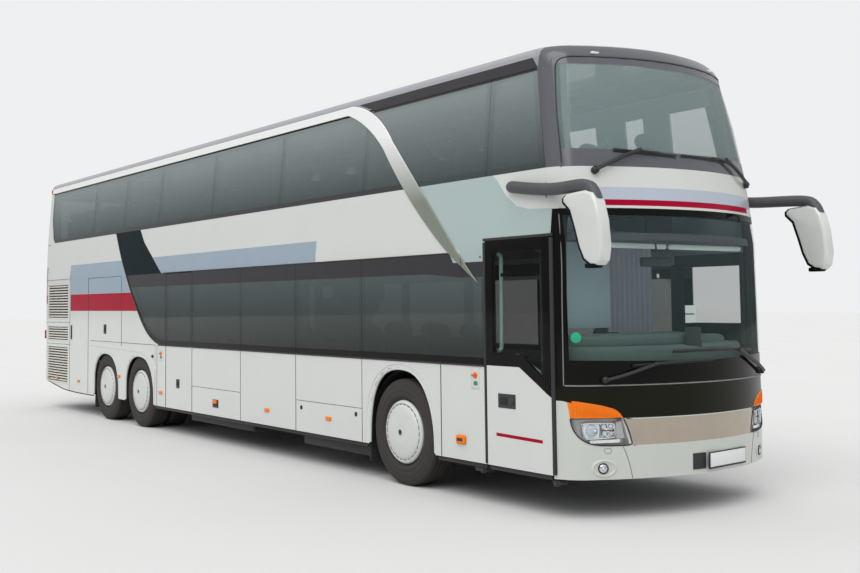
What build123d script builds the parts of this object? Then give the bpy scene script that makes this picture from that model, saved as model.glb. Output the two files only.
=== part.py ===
from build123d import *
import math
import os

os.makedirs("parts", exist_ok=True)

# Double-deck touring coach on three axles, in millimetres: X forward, Y to the coach's left,
# Z up from the road. It is drawn with the front axle at X = 0, and written with the middle of
# its length, mirrors included, at X = 0.

# ---- driving dimensions ------------------------------------------------------------------
WIDTH = 2550.0
HEIGHT = 4000.0
FRONT_OVERHANG = 2655.0
WHEELBASE = 6640.0
TAG_SPACING = 1350.0
REAR_OVERHANG = 3275.0  # from the tag axle to the tail
MIRROR_REACH = 2935.0  # the mirrors reach this far ahead of the front axle

TYRE_RADIUS = 518.0
TYRE_WIDTH = 295.0
RIM_RADIUS = 308.0
TYRE_OUTER_FACE = 1255.0  # from the middle of the coach to a tyre's outer wall
TWIN_PITCH = 330.0  # between the middles of twin tyres

SILL = 355.0  # bottom edge of the side panels
BUMPER_BOTTOM = 330.0
WAIST = 1220.0  # bottom of the lower window band
BAND_TOP = 2230.0  # top of the lower window band
LEAN_START = 2300.0  # the sides lean inwards above this height
LEAN_DEG = 5.5
SCREEN_TOP = 2545.0  # top of the lower windscreen
UPPER_SILL = 2900.0
ROOF_EDGE = 100.0  # height of the round roof edge
CANT_RAIL_DEPTH = 90.0  # from the upper windows to the round roof edge

WALL = 60.0  # whole thickness of a body wall
GLASS = 8.0
LEAF = 48.0  # thickness of a passenger door leaf
FLAP = 30.0  # thickness of a flap or lid
ROOF = 60.0
FLOOR = 60.0
PANEL_GAP = 6.0
FLAP_GAP = 6.0
DOOR_GAP = 12.0
WINDOW_RIM = 60.0  # pillar beside a window opening, hidden behind the glass
RUNNING_FIT = 0.05

NOSE_TURN = 28.7  # degrees from straight ahead at which the bowed nose meets its corner
CORNER_RADIUS = 330.0
TAIL_RADIUS = 110.0
BOW_FLATS = 5  # flats that make up half of the bow, a nose corner, a tail corner, a wheel
CORNER_FLATS = 7
TAIL_FLATS = 5
WHEEL_FLATS = 30

ENTRY_RISE = 75.0  # the lower floor over the sill
CEILING_RISE = 115.0  # the upper floor over the lower window band

# ---- heights and stations that follow from them ------------------------------------------
HALF = WIDTH / 2
INNER = HALF - WALL
CANT_RAIL = HEIGHT - ROOF_EDGE - CANT_RAIL_DEPTH
ROOF_SHOULDER = HEIGHT - ROOF_EDGE
FLOOR_TOP = SILL + ENTRY_RISE
UPPER_FLOOR_TOP = BAND_TOP + CEILING_RISE
HOLD_FLOOR_TOP = WAIST - 30.0  # luggage hold over the rear axles
DRIVE_X = -WHEELBASE
TAG_X = DRIVE_X - TAG_SPACING
REAR_END = TAG_X - REAR_OVERHANG
AXLE_Z = TYRE_RADIUS

# height, set-back of the nose, set-back of the tail, inset of the round roof edge
PROFILE = sorted((
    (BUMPER_BOTTOM, 12.0, 215.0, 0.0),
    (BUMPER_BOTTOM + 570.0, 0.0, 215.0, 0.0),
    (LEAN_START, 25.0, 202.0, 0.0),
    (SCREEN_TOP, 42.0, 155.0, 0.0),
    (UPPER_SILL, 80.0, 80.0, 0.0),
    ((UPPER_SILL + ROOF_SHOULDER) / 2, 175.0, 37.0, 0.0),
    (ROOF_SHOULDER, 315.0, 0.0, 0.0),
    (HEIGHT - 0.5 * ROOF_EDGE, 345.0, 5.0, 14.0),
    (HEIGHT - 0.18 * ROOF_EDGE, 375.0, 20.0, 42.0),
    (HEIGHT, 420.0, 50.0, 100.0),
))

PIECES = {}


def half_width(z):
    return HALF - math.tan(math.radians(LEAN_DEG)) * max(0.0, z - LEAN_START)


def arc(centre, radius, start, end, flats):
    """Points of an arc in plan, after its first one; angles in degrees from straight ahead."""
    turns = [math.radians(start + (end - start) * n / flats) for n in range(1, flats + 1)]
    return [(centre[0] + radius * math.cos(a), centre[1] + radius * math.sin(a)) for a in turns]


def row_points(row, inset):
    """Plan of the body at one row of PROFILE: bowed nose and round corners, as short flats."""
    z, nose_back, tail_back, edge = row
    side = half_width(z) - edge - inset
    nose = FRONT_OVERHANG - nose_back - inset
    tail = REAR_END + tail_back + inset
    corner = CORNER_RADIUS - inset
    rear = TAIL_RADIUS - inset
    turn = math.radians(NOSE_TURN)
    bow = corner + (side - corner) / math.sin(turn)
    corner_x = nose - bow + (bow - corner) * math.cos(turn)
    half = [(nose, 0.0)]
    half += arc((nose - bow, 0), bow, 0, NOSE_TURN, BOW_FLATS)
    half += arc((corner_x, side - corner), corner, NOSE_TURN, 90, CORNER_FLATS)
    half += [(tail + rear, side)] + arc((tail + rear, side - rear), rear, 90, 180, TAIL_FLATS)
    return half + [(x, -y) for x, y in reversed(half[1:])]


def plan_points(z, inset):
    """Plan of the body at any height, in a straight line between the rows of PROFILE."""
    low, high = PROFILE[0], PROFILE[1]
    for low, high in zip(PROFILE, PROFILE[1:]):
        if z <= high[0]:
            break
    part = max(0.0, (z - low[0]) / (high[0] - low[0]))
    ends = zip(row_points(low, inset), row_points(high, inset))
    return [(a[0] + part * (b[0] - a[0]), a[1] + part * (b[1] - a[1]), z) for a, b in ends]


def flat_face(points):
    return make_face(Polyline(*points, close=True).edges())


def flat_solid(rings):
    """A solid through rings of points, with a flat face in every space between two rings."""
    faces = [flat_face(rings[0]), flat_face(rings[-1])]
    for low, high in zip(rings, rings[1:]):
        fours = zip(low, low[1:] + low[:1], high[1:] + high[:1], high)
        faces += [flat_face(four) for four in fours]
    return Solid(Shell(faces))


def hull(low, high, inset):
    """The body's solid between two heights, its surface moved in by inset."""
    heights = [low] + [row[0] for row in PROFILE if low + 1 < row[0] < high - 1] + [high]
    return flat_solid([plan_points(z, inset) for z in heights])


def shell(low, high, thickness):
    """The body's outer layer between two heights."""
    return hull(low, high, 0) - hull(low, high, thickness)


def block(x0, x1, y0, y1, z0, z1):
    box = Box(x1 - x0, y1 - y0, z1 - z0)
    return Pos((x0 + x1) / 2, (y0 + y1) / 2, (z0 + z1) / 2) * box


OUTSIDE = HALF + 100  # clear of the body on either side
ABOVE = HEIGHT + 100


def through_side(x0, x1, z0, z1):
    """A block that passes through the right wall, mirrors and roof edge left out."""
    return block(x0, x1, -OUTSIDE, 400 - HALF, z0, z1)


def across(x0, x1, z0, z1):
    """A block over the coach's whole width."""
    return block(x0, x1, -OUTSIDE, OUTSIDE, z0, z1)


def side_prism(points, y0=-OUTSIDE, y1=400 - HALF):
    """A prism through the right wall, from an outline of (x, z) points."""
    return extrude(flat_face([(x, y0, z) for x, z in points]), y1 - y0, dir=(0, 1, 0))


def end_prism(points, x0, x1):
    """A prism through the nose or tail, from an outline of (y, z) points."""
    return extrude(flat_face([(x0, y, z) for y, z in points]), x1 - x0, dir=(1, 0, 0))


def cylinder_y(x, y0, y1, z, radius):
    return Pos(x, (y0 + y1) / 2, z) * Rot(90, 0, 0) * Cylinder(radius, abs(y1 - y0))


def cylinder_z(x, y, z0, z1, radius):
    return Pos(x, y, (z0 + z1) / 2) * Cylinder(radius, z1 - z0)


def other_side(shape):
    return mirror(shape, about=Plane.XZ)


def solids_of(shape):
    found = shape.solids() if hasattr(shape, "solids") else shape
    return [s for s in found if s.volume > 1.0]


def put(node, *shapes):
    """Keep the solids of the shapes as one node."""
    PIECES[node] = [s for shape in shapes for s in solids_of(shape)]


# ---- places along the sides ----------------------------------------------------------------
FRONT_JOINT = FRONT_OVERHANG - 510.0  # side panels end and the nose begins
TAIL_JOINT = REAR_END + 360.0  # side panels end and the tail begins
DOOR_TOP = BAND_TOP + 100.0
FRONT_DOOR = (FRONT_JOINT - 840.0, FRONT_JOINT)
WHEEL_PANEL = (-688.0, 649.0)  # the panel over the front wheel
BAY = 1360.0  # length of a lower window
MIDDLE_DOOR = (DRIVE_X + 960.0, DRIVE_X + 1827.0)
BAYS = (*MIDDLE_DOOR, WHEEL_PANEL[0] - 2 * BAY, WHEEL_PANEL[0] - BAY, WHEEL_PANEL[0])
FLAP_TOP = SILL + 345.0
FLAPS = (("rear", BAYS[1], BAYS[2]), ("front", BAYS[3], BAYS[4]))
LUGGAGE_DOOR = (TAG_X - 815.0, TAG_X + 615.0)
HOLD = (TAG_X - 1660.0, DRIVE_X + 680.0)
GRILLE = (TAIL_JOINT + 10.0, TAG_X - 1815.0)
UPPER_FRONT = 1275.0  # the frontmost joint between upper windows
UPPER_LENGTHS = (2010.0, 1800.0, 1820.0, 1750.0, 1340.0, 1350.0)  # upper windows, from the front
UPPER_JOINTS = [UPPER_FRONT - sum(UPPER_LENGTHS[:n]) for n in range(len(UPPER_LENGTHS) + 1)]
UPPER_TAIL = REAR_END + 205.0  # the upper sides reach back to here
# rear edge of the dark window band, from the upper windows down to the waist: (x, z)
SWEEP = [(DRIVE_X + x, z) for x, z in (
    (-1085, UPPER_SILL), (-815, BAND_TOP + 320), (-525, BAND_TOP), (-315, BAND_TOP - 270),
    (-135, WAIST + 550), (175, WAIST + 270), (435, WAIST + 100), (765, WAIST))]


# outlines of the wheel arches from rear to front: distance ahead of the axle and height over it
FRONT_ARCH = ((-563, -200), (-560, -50), (-553, 90), (-515, 290), (-435, 450), (-325, 555), (-190, 612),
              (-40, 628), (105, 618), (220, 588), (325, 525), (410, 430), (478, 312), (525, 170), (550, 20),
              (553, -200))
REAR_ARCH = ((-550, -200), (-545, 90), (-532, 210), (-478, 330), (-385, 435), (-235, 507), (-60, 530),
             (120, 520), (270, 478), (385, 392), (470, 290), (530, 120), (545, 20), (550, -200))


def wheel_arch(x, outline):
    """The opening round a wheel in the right wall, down to below the sill."""
    arch = [(x + dx, AXLE_Z + dz) for dx, dz in outline]
    return side_prism([(arch[0][0], 0), *arch, (arch[-1][0], 0)])


ARCHES = (wheel_arch(0, FRONT_ARCH), wheel_arch(DRIVE_X, REAR_ARCH), wheel_arch(TAG_X, REAR_ARCH))
RISE_X = TAG_X - 1685.0  # the underside rises from here to the tail
TAIL_RISE = side_prism(((RISE_X, SILL), (RISE_X, 0), (REAR_END - 200, 0), (REAR_END - 200, SILL + 160)),
                       -OUTSIDE, OUTSIDE)

# height range of each cooling grille in the tail's sides
GRILLES = ((SILL + 100, WAIST - 140), (WAIST - 50, WAIST + 210), (WAIST + 330, BAND_TOP - 80))
GRILLE_HOLES = [through_side(*GRILLE, z0, z1) for z0, z1 in GRILLES]
SLAT_PITCH = 50.0
SLAT = 14.0
GRILLE_RIM = 25.0
GRILLE_DEPTH = 40.0
GRILLE_INSET = 4.0  # the grilles lie this far behind the skin


def without(shape, holes):
    """The solids of a shape with every hole taken out."""
    for hole in holes:
        shape = shape - hole
    return solids_of(shape)


# ---- lower side panels: one solid between two joints, open at arches, doors and flaps ----------
LOW_SKIN = shell(BUMPER_BOTTOM, WAIST, WALL)


def lower_panels(doors):
    """Right wall below the windows, as the side with passenger doors or the side without."""
    stations = [TAIL_JOINT, GRILLE[1], TAG_X - 805, DRIVE_X + 585, *BAYS, WHEEL_PANEL[1], *FRONT_DOOR]
    found = []
    for x0, x1 in zip(stations, stations[1:]):
        if doors and (x0, x1) in (MIDDLE_DOOR, FRONT_DOOR):
            continue
        over_flap = doors and (x0, x1) in [(a, b) for _, a, b in FLAPS]
        bottom = FLAP_TOP if over_flap else SILL
        piece = LOW_SKIN & through_side(x0 + PANEL_GAP / 2, x1 - PANEL_GAP / 2, bottom, WAIST)
        found += without(piece, (*ARCHES, TAIL_RISE, *GRILLE_HOLES))
    return found


def grille(z0, z1):
    """A louvred panel: a rim and level slats, filling one grille hole."""
    x0, x1 = GRILLE
    y0 = GRILLE_INSET - HALF
    y1 = y0 + GRILLE_DEPTH
    in_x0, in_x1 = x0 + GRILLE_RIM, x1 - GRILLE_RIM
    panel = block(x0, x1, y0, y1, z0, z1) - block(in_x0, in_x1, y0, y1, z0 + GRILLE_RIM, z1 - GRILLE_RIM)
    inside = z1 - z0 - 2 * GRILLE_RIM
    count = int(inside // SLAT_PITCH)
    for n in range(1, count + 1):
        z = z0 + GRILLE_RIM + n * inside / (count + 1)
        panel = panel + block(in_x0, in_x1, y0, y1 - 8, z - SLAT / 2, z + SLAT / 2)
    return panel - TAIL_RISE


put("lower_panels", *lower_panels(True), *[other_side(s) for s in lower_panels(False)])
grilles = [grille(z0, z1) for z0, z1 in GRILLES]
put("side_grilles", *grilles, *[other_side(g) for g in grilles])

# ---- flaps below the windows, hinged along the top of their outer face -------------------------
flap_skin = shell(SILL, FLAP_TOP - FLAP_GAP, FLAP)
for place, x0, x1 in FLAPS:
    put(f"service_flap_{place}", flap_skin & through_side(x0 + FLAP_GAP, x1 - FLAP_GAP, 0, ABOVE))

# ---- lower window band: a frame with the glass bonded over it ----------------------------------
BAND_SKIN = shell(WAIST, BAND_TOP, WALL)
BAND_PANE = shell(WAIST, BAND_TOP, GLASS)
LOWER_PANES = (*zip(BAYS, BAYS[1:]), (BAYS[-1], FRONT_DOOR[0]), FRONT_DOOR)
PANE_LOW = WAIST + 65.0
PANE_HIGH = BAND_TOP - 120.0
SWEEP_LOW = [p for p in SWEEP if p[1] <= BAND_TOP]
# the first window fits the rear edge's sweep: (x, z)
FIRST_WINDOW = [(DRIVE_X + x, z) for x, z in (
    (-105, PANE_HIGH), (115, WAIST + 500), (365, WAIST + 270), (615, PANE_LOW + 60), (875, PANE_LOW),
    (875, PANE_HIGH))]


def window_band(doors):
    """Frame and panes of the right lower windows; doors leave their places open."""
    glazed = side_prism(SWEEP_LOW + [(FRONT_JOINT, WAIST), (FRONT_JOINT, BAND_TOP)])
    frame = BAND_SKIN & through_side(TAIL_JOINT, FRONT_JOINT, WAIST, BAND_TOP)
    frame = frame - (BAND_PANE & glazed)
    edge = BAYS[0] - PANEL_GAP / 2
    panes = solids_of(BAND_PANE & side_prism(SWEEP_LOW + [(edge, WAIST), (edge, BAND_TOP)]))
    holes = [side_prism(FIRST_WINDOW), through_side(*LUGGAGE_DOOR, 0, ABOVE), *GRILLE_HOLES]
    for x0, x1 in LOWER_PANES:
        if doors and (x0, x1) in (MIDDLE_DOOR, FRONT_DOOR):
            holes.append(through_side(x0, x1, 0, ABOVE))
            continue
        panes += solids_of(BAND_PANE & through_side(x0 + PANEL_GAP / 2, x1 - PANEL_GAP / 2, 0, ABOVE))
        holes.append(through_side(x0 + WINDOW_RIM, x1 - WINDOW_RIM, PANE_LOW, PANE_HIGH))
    return without(frame, holes), panes


right_frame, right_panes = window_band(True)
left_frame, left_panes = window_band(False)
put("window_band", *right_frame, *[other_side(s) for s in left_frame])
put("lower_glass", *right_panes, *[other_side(s) for s in left_panes])

luggage_skin = shell(WAIST, BAND_TOP - FLAP_GAP, FLAP)
luggage_door = luggage_skin & through_side(LUGGAGE_DOOR[0] + FLAP_GAP, LUGGAGE_DOOR[1] - FLAP_GAP, 0, ABOVE)
put("luggage_door_right", luggage_door)
put("luggage_door_left", other_side(luggage_door))

# ---- belt between the decks and the upper windows -----------------------------------------------
belt = shell(BAND_TOP, UPPER_SILL, WALL) & through_side(TAIL_JOINT, FRONT_JOINT, BAND_TOP, UPPER_SILL)
door_head = through_side(FRONT_DOOR[0], FRONT_JOINT + 1, 0, DOOR_TOP)
UPPER_PANE = shell(UPPER_SILL, CANT_RAIL, GLASS)
SEAL = 5.0
# side views of all the upper glass, and of the first and last openings behind it: (x, z)
UPPER_GLASS = ((REAR_END + 627, UPPER_SILL + SEAL), (FRONT_OVERHANG - 610, UPPER_SILL + SEAL),
               (FRONT_OVERHANG - 780, CANT_RAIL), (REAR_END + 257, CANT_RAIL),
               (REAR_END + 302, UPPER_SILL + 450), (REAR_END + 500, UPPER_SILL + 80))
low, high = UPPER_SILL + WINDOW_RIM, CANT_RAIL - WINDOW_RIM
hole_x = UPPER_JOINTS[0] + WINDOW_RIM
FIRST_HOLE = ((hole_x, low), (FRONT_OVERHANG - 690, low), (FRONT_OVERHANG - 830, high), (hole_x, high))
hole_x = UPPER_JOINTS[-1] - WINDOW_RIM
LAST_HOLE = ((hole_x, low), (hole_x, high), (REAR_END + 330, high), (REAR_END + 375, UPPER_SILL + 450),
             (REAR_END + 560, low))
upper_skin = UPPER_PANE & side_prism(UPPER_GLASS)
upper_frame = shell(UPPER_SILL, CANT_RAIL, WALL) & through_side(UPPER_TAIL, FRONT_JOINT + 100, 0, ABOVE)
upper_frame = upper_frame - upper_skin - side_prism(FIRST_HOLE) - side_prism(LAST_HOLE)
upper_panes = []
for x1, x0 in zip([FRONT_JOINT] + UPPER_JOINTS, UPPER_JOINTS + [UPPER_TAIL]):
    upper_panes += solids_of(upper_skin & through_side(x0 + PANEL_GAP / 2, x1 - PANEL_GAP / 2, 0, ABOVE))
for x1, x0 in zip(UPPER_JOINTS, UPPER_JOINTS[1:]):
    upper_frame = upper_frame - through_side(x0 + WINDOW_RIM, x1 - WINDOW_RIM, low, high)

# the upper windscreen's side edge leans back from its foot to its head
SCREEN_FOOT = FRONT_OVERHANG - 470.0
SCREEN_HEAD = FRONT_OVERHANG - 655.0
SCREEN_HIGH = ROOF_SHOULDER - 15.0
BEYOND = FRONT_OVERHANG + 300.0


def ahead_of_edge(low, high, inset):
    """All that lies ahead of the upper windscreen's side edge, between two heights."""
    lean = (SCREEN_FOOT - SCREEN_HEAD) / (SCREEN_HIGH - UPPER_SILL)
    foot = SCREEN_FOOT + inset - lean * (low - UPPER_SILL)
    head = SCREEN_FOOT + inset - lean * (high - UPPER_SILL)
    return side_prism(((foot, low), (BEYOND, low), (BEYOND, high), (head, high)), -OUTSIDE, OUTSIDE)


screen_space = ahead_of_edge(UPPER_SILL, SCREEN_HIGH, 0)
upper_frame = upper_frame - screen_space
put("upper_sides", (belt - door_head) + upper_frame, other_side(belt + upper_frame))
put("upper_glass", *upper_panes, *[other_side(s) for s in upper_panes])

# ---- roof ----------------------------------------------------------------------------------------
put("roof", hull(CANT_RAIL, HEIGHT, 0) - hull(CANT_RAIL, HEIGHT - ROOF, WALL) - screen_space)

# ---- nose ----------------------------------------------------------------------------------------
SCREEN_BOTTOM = 1080.0  # bottom of the lower windscreen
SCREEN_SIDE = FRONT_JOINT + 50.0  # the lower windscreen reaches back to this station
FRAME_EDGE = 60.0
LAMP_LOW = 600.0
LAMP_HIGH = 965.0  # the lamps' outer upper corner
TRIM_TOP = 815.0
LAMP_MEET = 823.0  # height at which lamp, trim and black panel meet
# front view outlines of the right headlamp, its indicator and the polished panel: (y, z)
LAMP = ((505 - HALF, LAMP_LOW), (145 - HALF, LAMP_LOW), (60 - HALF, 690), (37 - HALF, 830),
        (33 - HALF, LAMP_HIGH), (440 - HALF, LAMP_MEET))
INDICATOR = (LAMP[5], LAMP[3], LAMP[4])
TRIM = ((525 - HALF, LAMP_LOW + 2), (445 - HALF, TRIM_TOP), (HALF - 445, TRIM_TOP),
        (HALF - 525, LAMP_LOW + 2))
BLACK = ((-OUTSIDE, SCREEN_BOTTOM), (OUTSIDE, SCREEN_BOTTOM), (OUTSIDE, LAMP_HIGH + 10),
         (-LAMP[4][0], LAMP_HIGH), (-LAMP[5][0], LAMP_MEET), LAMP[5], LAMP[4], (-OUTSIDE, LAMP_HIGH + 10))


def nose_prism(points):
    return end_prism(points, FRONT_OVERHANG - 1200, BEYOND)


low_nose = LOW_SKIN & across(FRONT_JOINT, BEYOND, BUMPER_BOTTOM, SCREEN_BOTTOM)
lamp = nose_prism(LAMP)
lamps = lamp + other_side(lamp)
trim = nose_prism(TRIM)
black = nose_prism(BLACK)
signal = nose_prism(INDICATOR)
right_lamp = low_nose & lamp
put("front_panel", (low_nose & black) - lamps)
put("nose_trim", (low_nose & trim) - lamps)
put("headlamps", right_lamp - signal, other_side(right_lamp - signal))
put("indicators", right_lamp & signal, other_side(right_lamp & signal))

TOW_RADIUS = 16.0
FRONT_TOW = (-20.0, BUMPER_BOTTOM + 90)  # y, z
tow_hole = Pos(FRONT_OVERHANG - 50, *FRONT_TOW) * Rot(0, 90, 0) * Cylinder(TOW_RADIUS, 400)
put("front_bumper", low_nose - lamps - trim - black - tow_hole)

# windscreens bonded to the front of their frame
screen = shell(SCREEN_BOTTOM, SCREEN_TOP, GLASS) & across(SCREEN_SIDE, BEYOND, 0, ABOVE)
put("windscreen_lower", screen)
opening = across(SCREEN_SIDE + 30, BEYOND, SCREEN_BOTTOM + FRAME_EDGE, SCREEN_TOP - FRAME_EDGE)
nose_space = across(FRONT_JOINT, BEYOND, 0, ABOVE)
pillars = (shell(SCREEN_BOTTOM, SCREEN_TOP, WALL) & nose_space) - screen - opening
fascia = shell(SCREEN_TOP, UPPER_SILL, WALL) & nose_space
high_screen = shell(UPPER_SILL, SCREEN_HIGH, GLASS) & screen_space
put("windscreen_upper", high_screen)
high_opening = ahead_of_edge(UPPER_SILL + FRAME_EDGE + 20, SCREEN_HIGH - FRAME_EDGE, 40)
high_frame = (shell(UPPER_SILL, SCREEN_HIGH, WALL) & screen_space) - high_screen - high_opening
put("nose_frame", pillars + fascia + high_frame)

# ---- tail ----------------------------------------------------------------------------------------
TAIL_BUMPER_TOP = SILL + 345.0
LID = (TAIL_BUMPER_TOP + 60.0, TAIL_BUMPER_TOP + 1060.0)  # the engine lid's opening
LID_HALF = 900.0
TAIL_LAMP = (LID[0] + 20.0, LID[0] + 490.0)
TAIL_LAMP_DEPTH = 40.0
REAR_WINDOW_HALF = 1000.0
REAR_TOW = (-400.0, TAIL_BUMPER_TOP - 90)  # y, z
BEHIND = REAR_END - 300.0


def tail_prism(points):
    return end_prism(points, BEHIND, TAIL_JOINT)


tow_hole = Pos(REAR_END + 200, *REAR_TOW) * Rot(0, 90, 0) * Cylinder(TOW_RADIUS, 400)
tail_space = across(BEHIND, TAIL_JOINT, 0, ABOVE)
put("rear_bumper", (shell(BUMPER_BOTTOM, TAIL_BUMPER_TOP, WALL) & tail_space) - TAIL_RISE - tow_hole)
lid_edge = LID_HALF - FLAP_GAP
lid_zone = block(BEHIND, TAIL_JOINT, -lid_edge, lid_edge, LID[0] + FLAP_GAP, LID[1] - FLAP_GAP)
put("engine_lid", shell(*LID, FLAP) & lid_zone)
lamp_zone = tail_prism(((-LID_HALF - 30, TAIL_LAMP[0]), (20 - HALF, TAIL_LAMP[0]), (20 - HALF, TAIL_LAMP[1]),
                        (-LID_HALF - 30, TAIL_LAMP[1])))
tail_lamp = shell(*LID, TAIL_LAMP_DEPTH) & lamp_zone
put("tail_lamps", tail_lamp, other_side(tail_lamp))
low, high = UPPER_SILL + WINDOW_RIM, CANT_RAIL - WINDOW_RIM
rear_window = UPPER_PANE & block(BEHIND, TAIL_JOINT - 150, -REAR_WINDOW_HALF, REAR_WINDOW_HALF, low, high)
put("rear_window", rear_window)
edge = REAR_WINDOW_HALF - 40
window_hole = block(BEHIND, TAIL_JOINT - 150, -edge, edge, low + 40, high - 40)
lid_hole = block(BEHIND, TAIL_JOINT, -LID_HALF, LID_HALF, *LID)
tail_wall = shell(TAIL_BUMPER_TOP, CANT_RAIL, WALL) & tail_space
tail_wall = tail_wall - across(UPPER_TAIL, TAIL_JOINT + 1, UPPER_SILL, ABOVE)
put("rear_wall", tail_wall - lid_hole - tail_lamp - other_side(tail_lamp) - rear_window - window_hole)

# ---- floors, bulkheads, wheel houses -------------------------------------------------------------
HOUSE_INNER = 470.0  # the front wheel houses reach in to this distance from the middle
HOUSE_X = 780.0
HOUSE_SHEET = 20.0
HOUSE_TOP = TYRE_RADIUS * 2 + 120.0
CEILING = UPPER_FLOOR_TOP - FLOOR
BULKHEAD = 40.0
STAIR_X = (MIDDLE_DOOR[0] + 75.0, MIDDLE_DOOR[0] + 1835.0)
STAIR_Y = (500.0, INNER - 5)
FLOOR_FRONT = FRONT_OVERHANG - 100.0

lower_floor = hull(FLOOR_TOP - FLOOR, FLOOR_TOP, WALL) & across(HOLD[1], FLOOR_FRONT, 0, FLOOR_TOP)
house_space = block(-HOUSE_X, HOUSE_X, -OUTSIDE, -HOUSE_INNER, 0, HOUSE_TOP)
lower_floor = lower_floor - house_space - other_side(house_space)
house = block(-HOUSE_X, HOUSE_X, -INNER, -HOUSE_INNER, FLOOR_TOP - FLOOR, HOUSE_TOP)
sheet_x = HOUSE_X - HOUSE_SHEET
house = house - block(-sheet_x, sheet_x, -OUTSIDE, -HOUSE_INNER - HOUSE_SHEET, 0, HOUSE_TOP - HOUSE_SHEET)
put("lower_floor", lower_floor)
bulkheads = [
    block(HOLD[1], HOLD[1] + BULKHEAD, -INNER, INNER, FLOOR_TOP, CEILING),
    block(HOLD[0] - BULKHEAD, HOLD[0], -INNER, INNER, HOLD_FLOOR_TOP - FLOOR, CEILING),
]
put("bulkheads_and_wheel_houses", *bulkheads, house, other_side(house))
upper_floor = hull(CEILING, UPPER_FLOOR_TOP, WALL) - block(*STAIR_X, *STAIR_Y, 0, ABOVE)
put("upper_floor", without(upper_floor, PIECES["upper_sides"] + PIECES["nose_frame"])[0])

# two chassis rails with cross members under the luggage hold's floor
RAIL_Y = 440.0
RAIL_WIDTH = 80.0
RAIL_DEPTH = 180.0
RAIL_TOP = HOLD_FLOOR_TOP - FLOOR
RAIL_REAR = REAR_END + 520.0
CROSS_X = (RAIL_REAR + 50, TAG_X, DRIVE_X)
rail = block(RAIL_REAR, HOLD[1], -RAIL_Y - RAIL_WIDTH / 2, RAIL_WIDTH / 2 - RAIL_Y, RAIL_TOP - RAIL_DEPTH,
             RAIL_TOP)
frame = rail + other_side(rail) + block(*HOLD, -INNER, INNER, RAIL_TOP, HOLD_FLOOR_TOP)
for x in CROSS_X:
    frame = frame + block(x - 50, x + 50, -RAIL_Y, RAIL_Y, RAIL_TOP - 150, RAIL_TOP - 30)
put("hold_floor", frame)

# the engine hangs under the rails behind the tag axle
ENGINE_X = (REAR_END + 620.0, TAG_X - 1760.0)
ENGINE_LOW = 560.0
engine = block(*ENGINE_X, -380, 380, ENGINE_LOW, RAIL_TOP - RAIL_DEPTH - 10)
head = block(ENGINE_X[0] + 100, ENGINE_X[1] - 100, -330, 330, RAIL_TOP - RAIL_DEPTH - 10, RAIL_TOP - 160)
put("engine", engine + head)

# ---- stairs and seats ------------------------------------------------------------------------------
RISERS = 8
TREAD_INSET = 10.0
riser = (UPPER_FLOOR_TOP - FLOOR_TOP) / RISERS
going = (STAIR_X[1] - STAIR_X[0] - 2 * TREAD_INSET) / (RISERS - 1)
foot_x = STAIR_X[0] + TREAD_INSET
steps = [(foot_x, FLOOR_TOP)]
for n in range(1, RISERS):
    steps.append((foot_x + (n - 1) * going, FLOOR_TOP + n * riser))
    steps.append((foot_x + n * going, FLOOR_TOP + n * riser))
steps.append((foot_x + (RISERS - 1) * going, FLOOR_TOP + (RISERS - 2) * riser))
steps.append((foot_x + going, FLOOR_TOP))
put("stairs", side_prism(steps, STAIR_Y[0] + TREAD_INSET, STAIR_Y[1] - TREAD_INSET))

# side view of a seat, its foot's rear edge at (0, 0) and its front to +x
SEAT = ((0, 0), (330, 0), (330, 300), (470, 320), (480, 440), (60, 440), (-110, 1120), (-210, 1120),
        (-60, 300), (0, 300))
SEAT_HEIGHT = 1120.0
SEAT_WIDTH = 900.0
SEAT_WALL_GAP = 40.0
SEAT_PITCH = 790.0


def bench(x, y0, y1, z):
    return side_prism([(x + px, z + pz) for px, pz in SEAT], y0, y1)


def seat_rows(front, rear, z, wall):
    """Double seats along the right wall, at a steady pitch from front to rear."""
    count = int((front - rear) // SEAT_PITCH) + 1
    outer = SEAT_WALL_GAP - wall
    return [bench(front - n * SEAT_PITCH, outer, outer + SEAT_WIDTH, z) for n in range(count)]


DRIVER_X = 1035.0
DRIVER_Y = 640.0
DRIVER_SEAT_HALF = 240.0
upper_wall = half_width(UPPER_FLOOR_TOP + SEAT_HEIGHT) - WALL
upper_rows = seat_rows(FRONT_OVERHANG - 1200, REAR_END + 720, UPPER_FLOOR_TOP, upper_wall)
stairwell = across(STAIR_X[0] - 500, STAIR_X[1] + 250, 0, ABOVE)
left_upper = [other_side(s) for s in upper_rows if not solids_of(s & stairwell)]
right_lower = seat_rows(-1525, MIDDLE_DOOR[1] + 260, FLOOR_TOP, INNER)
left_lower = [other_side(s) for s in seat_rows(-1525, STAIR_X[1] + 400, FLOOR_TOP, INNER)]
driver_seat = bench(DRIVER_X, DRIVER_Y - DRIVER_SEAT_HALF, DRIVER_Y + DRIVER_SEAT_HALF, FLOOR_TOP)
put("seats", *upper_rows, *left_upper, *right_lower, *left_lower, driver_seat)

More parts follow.
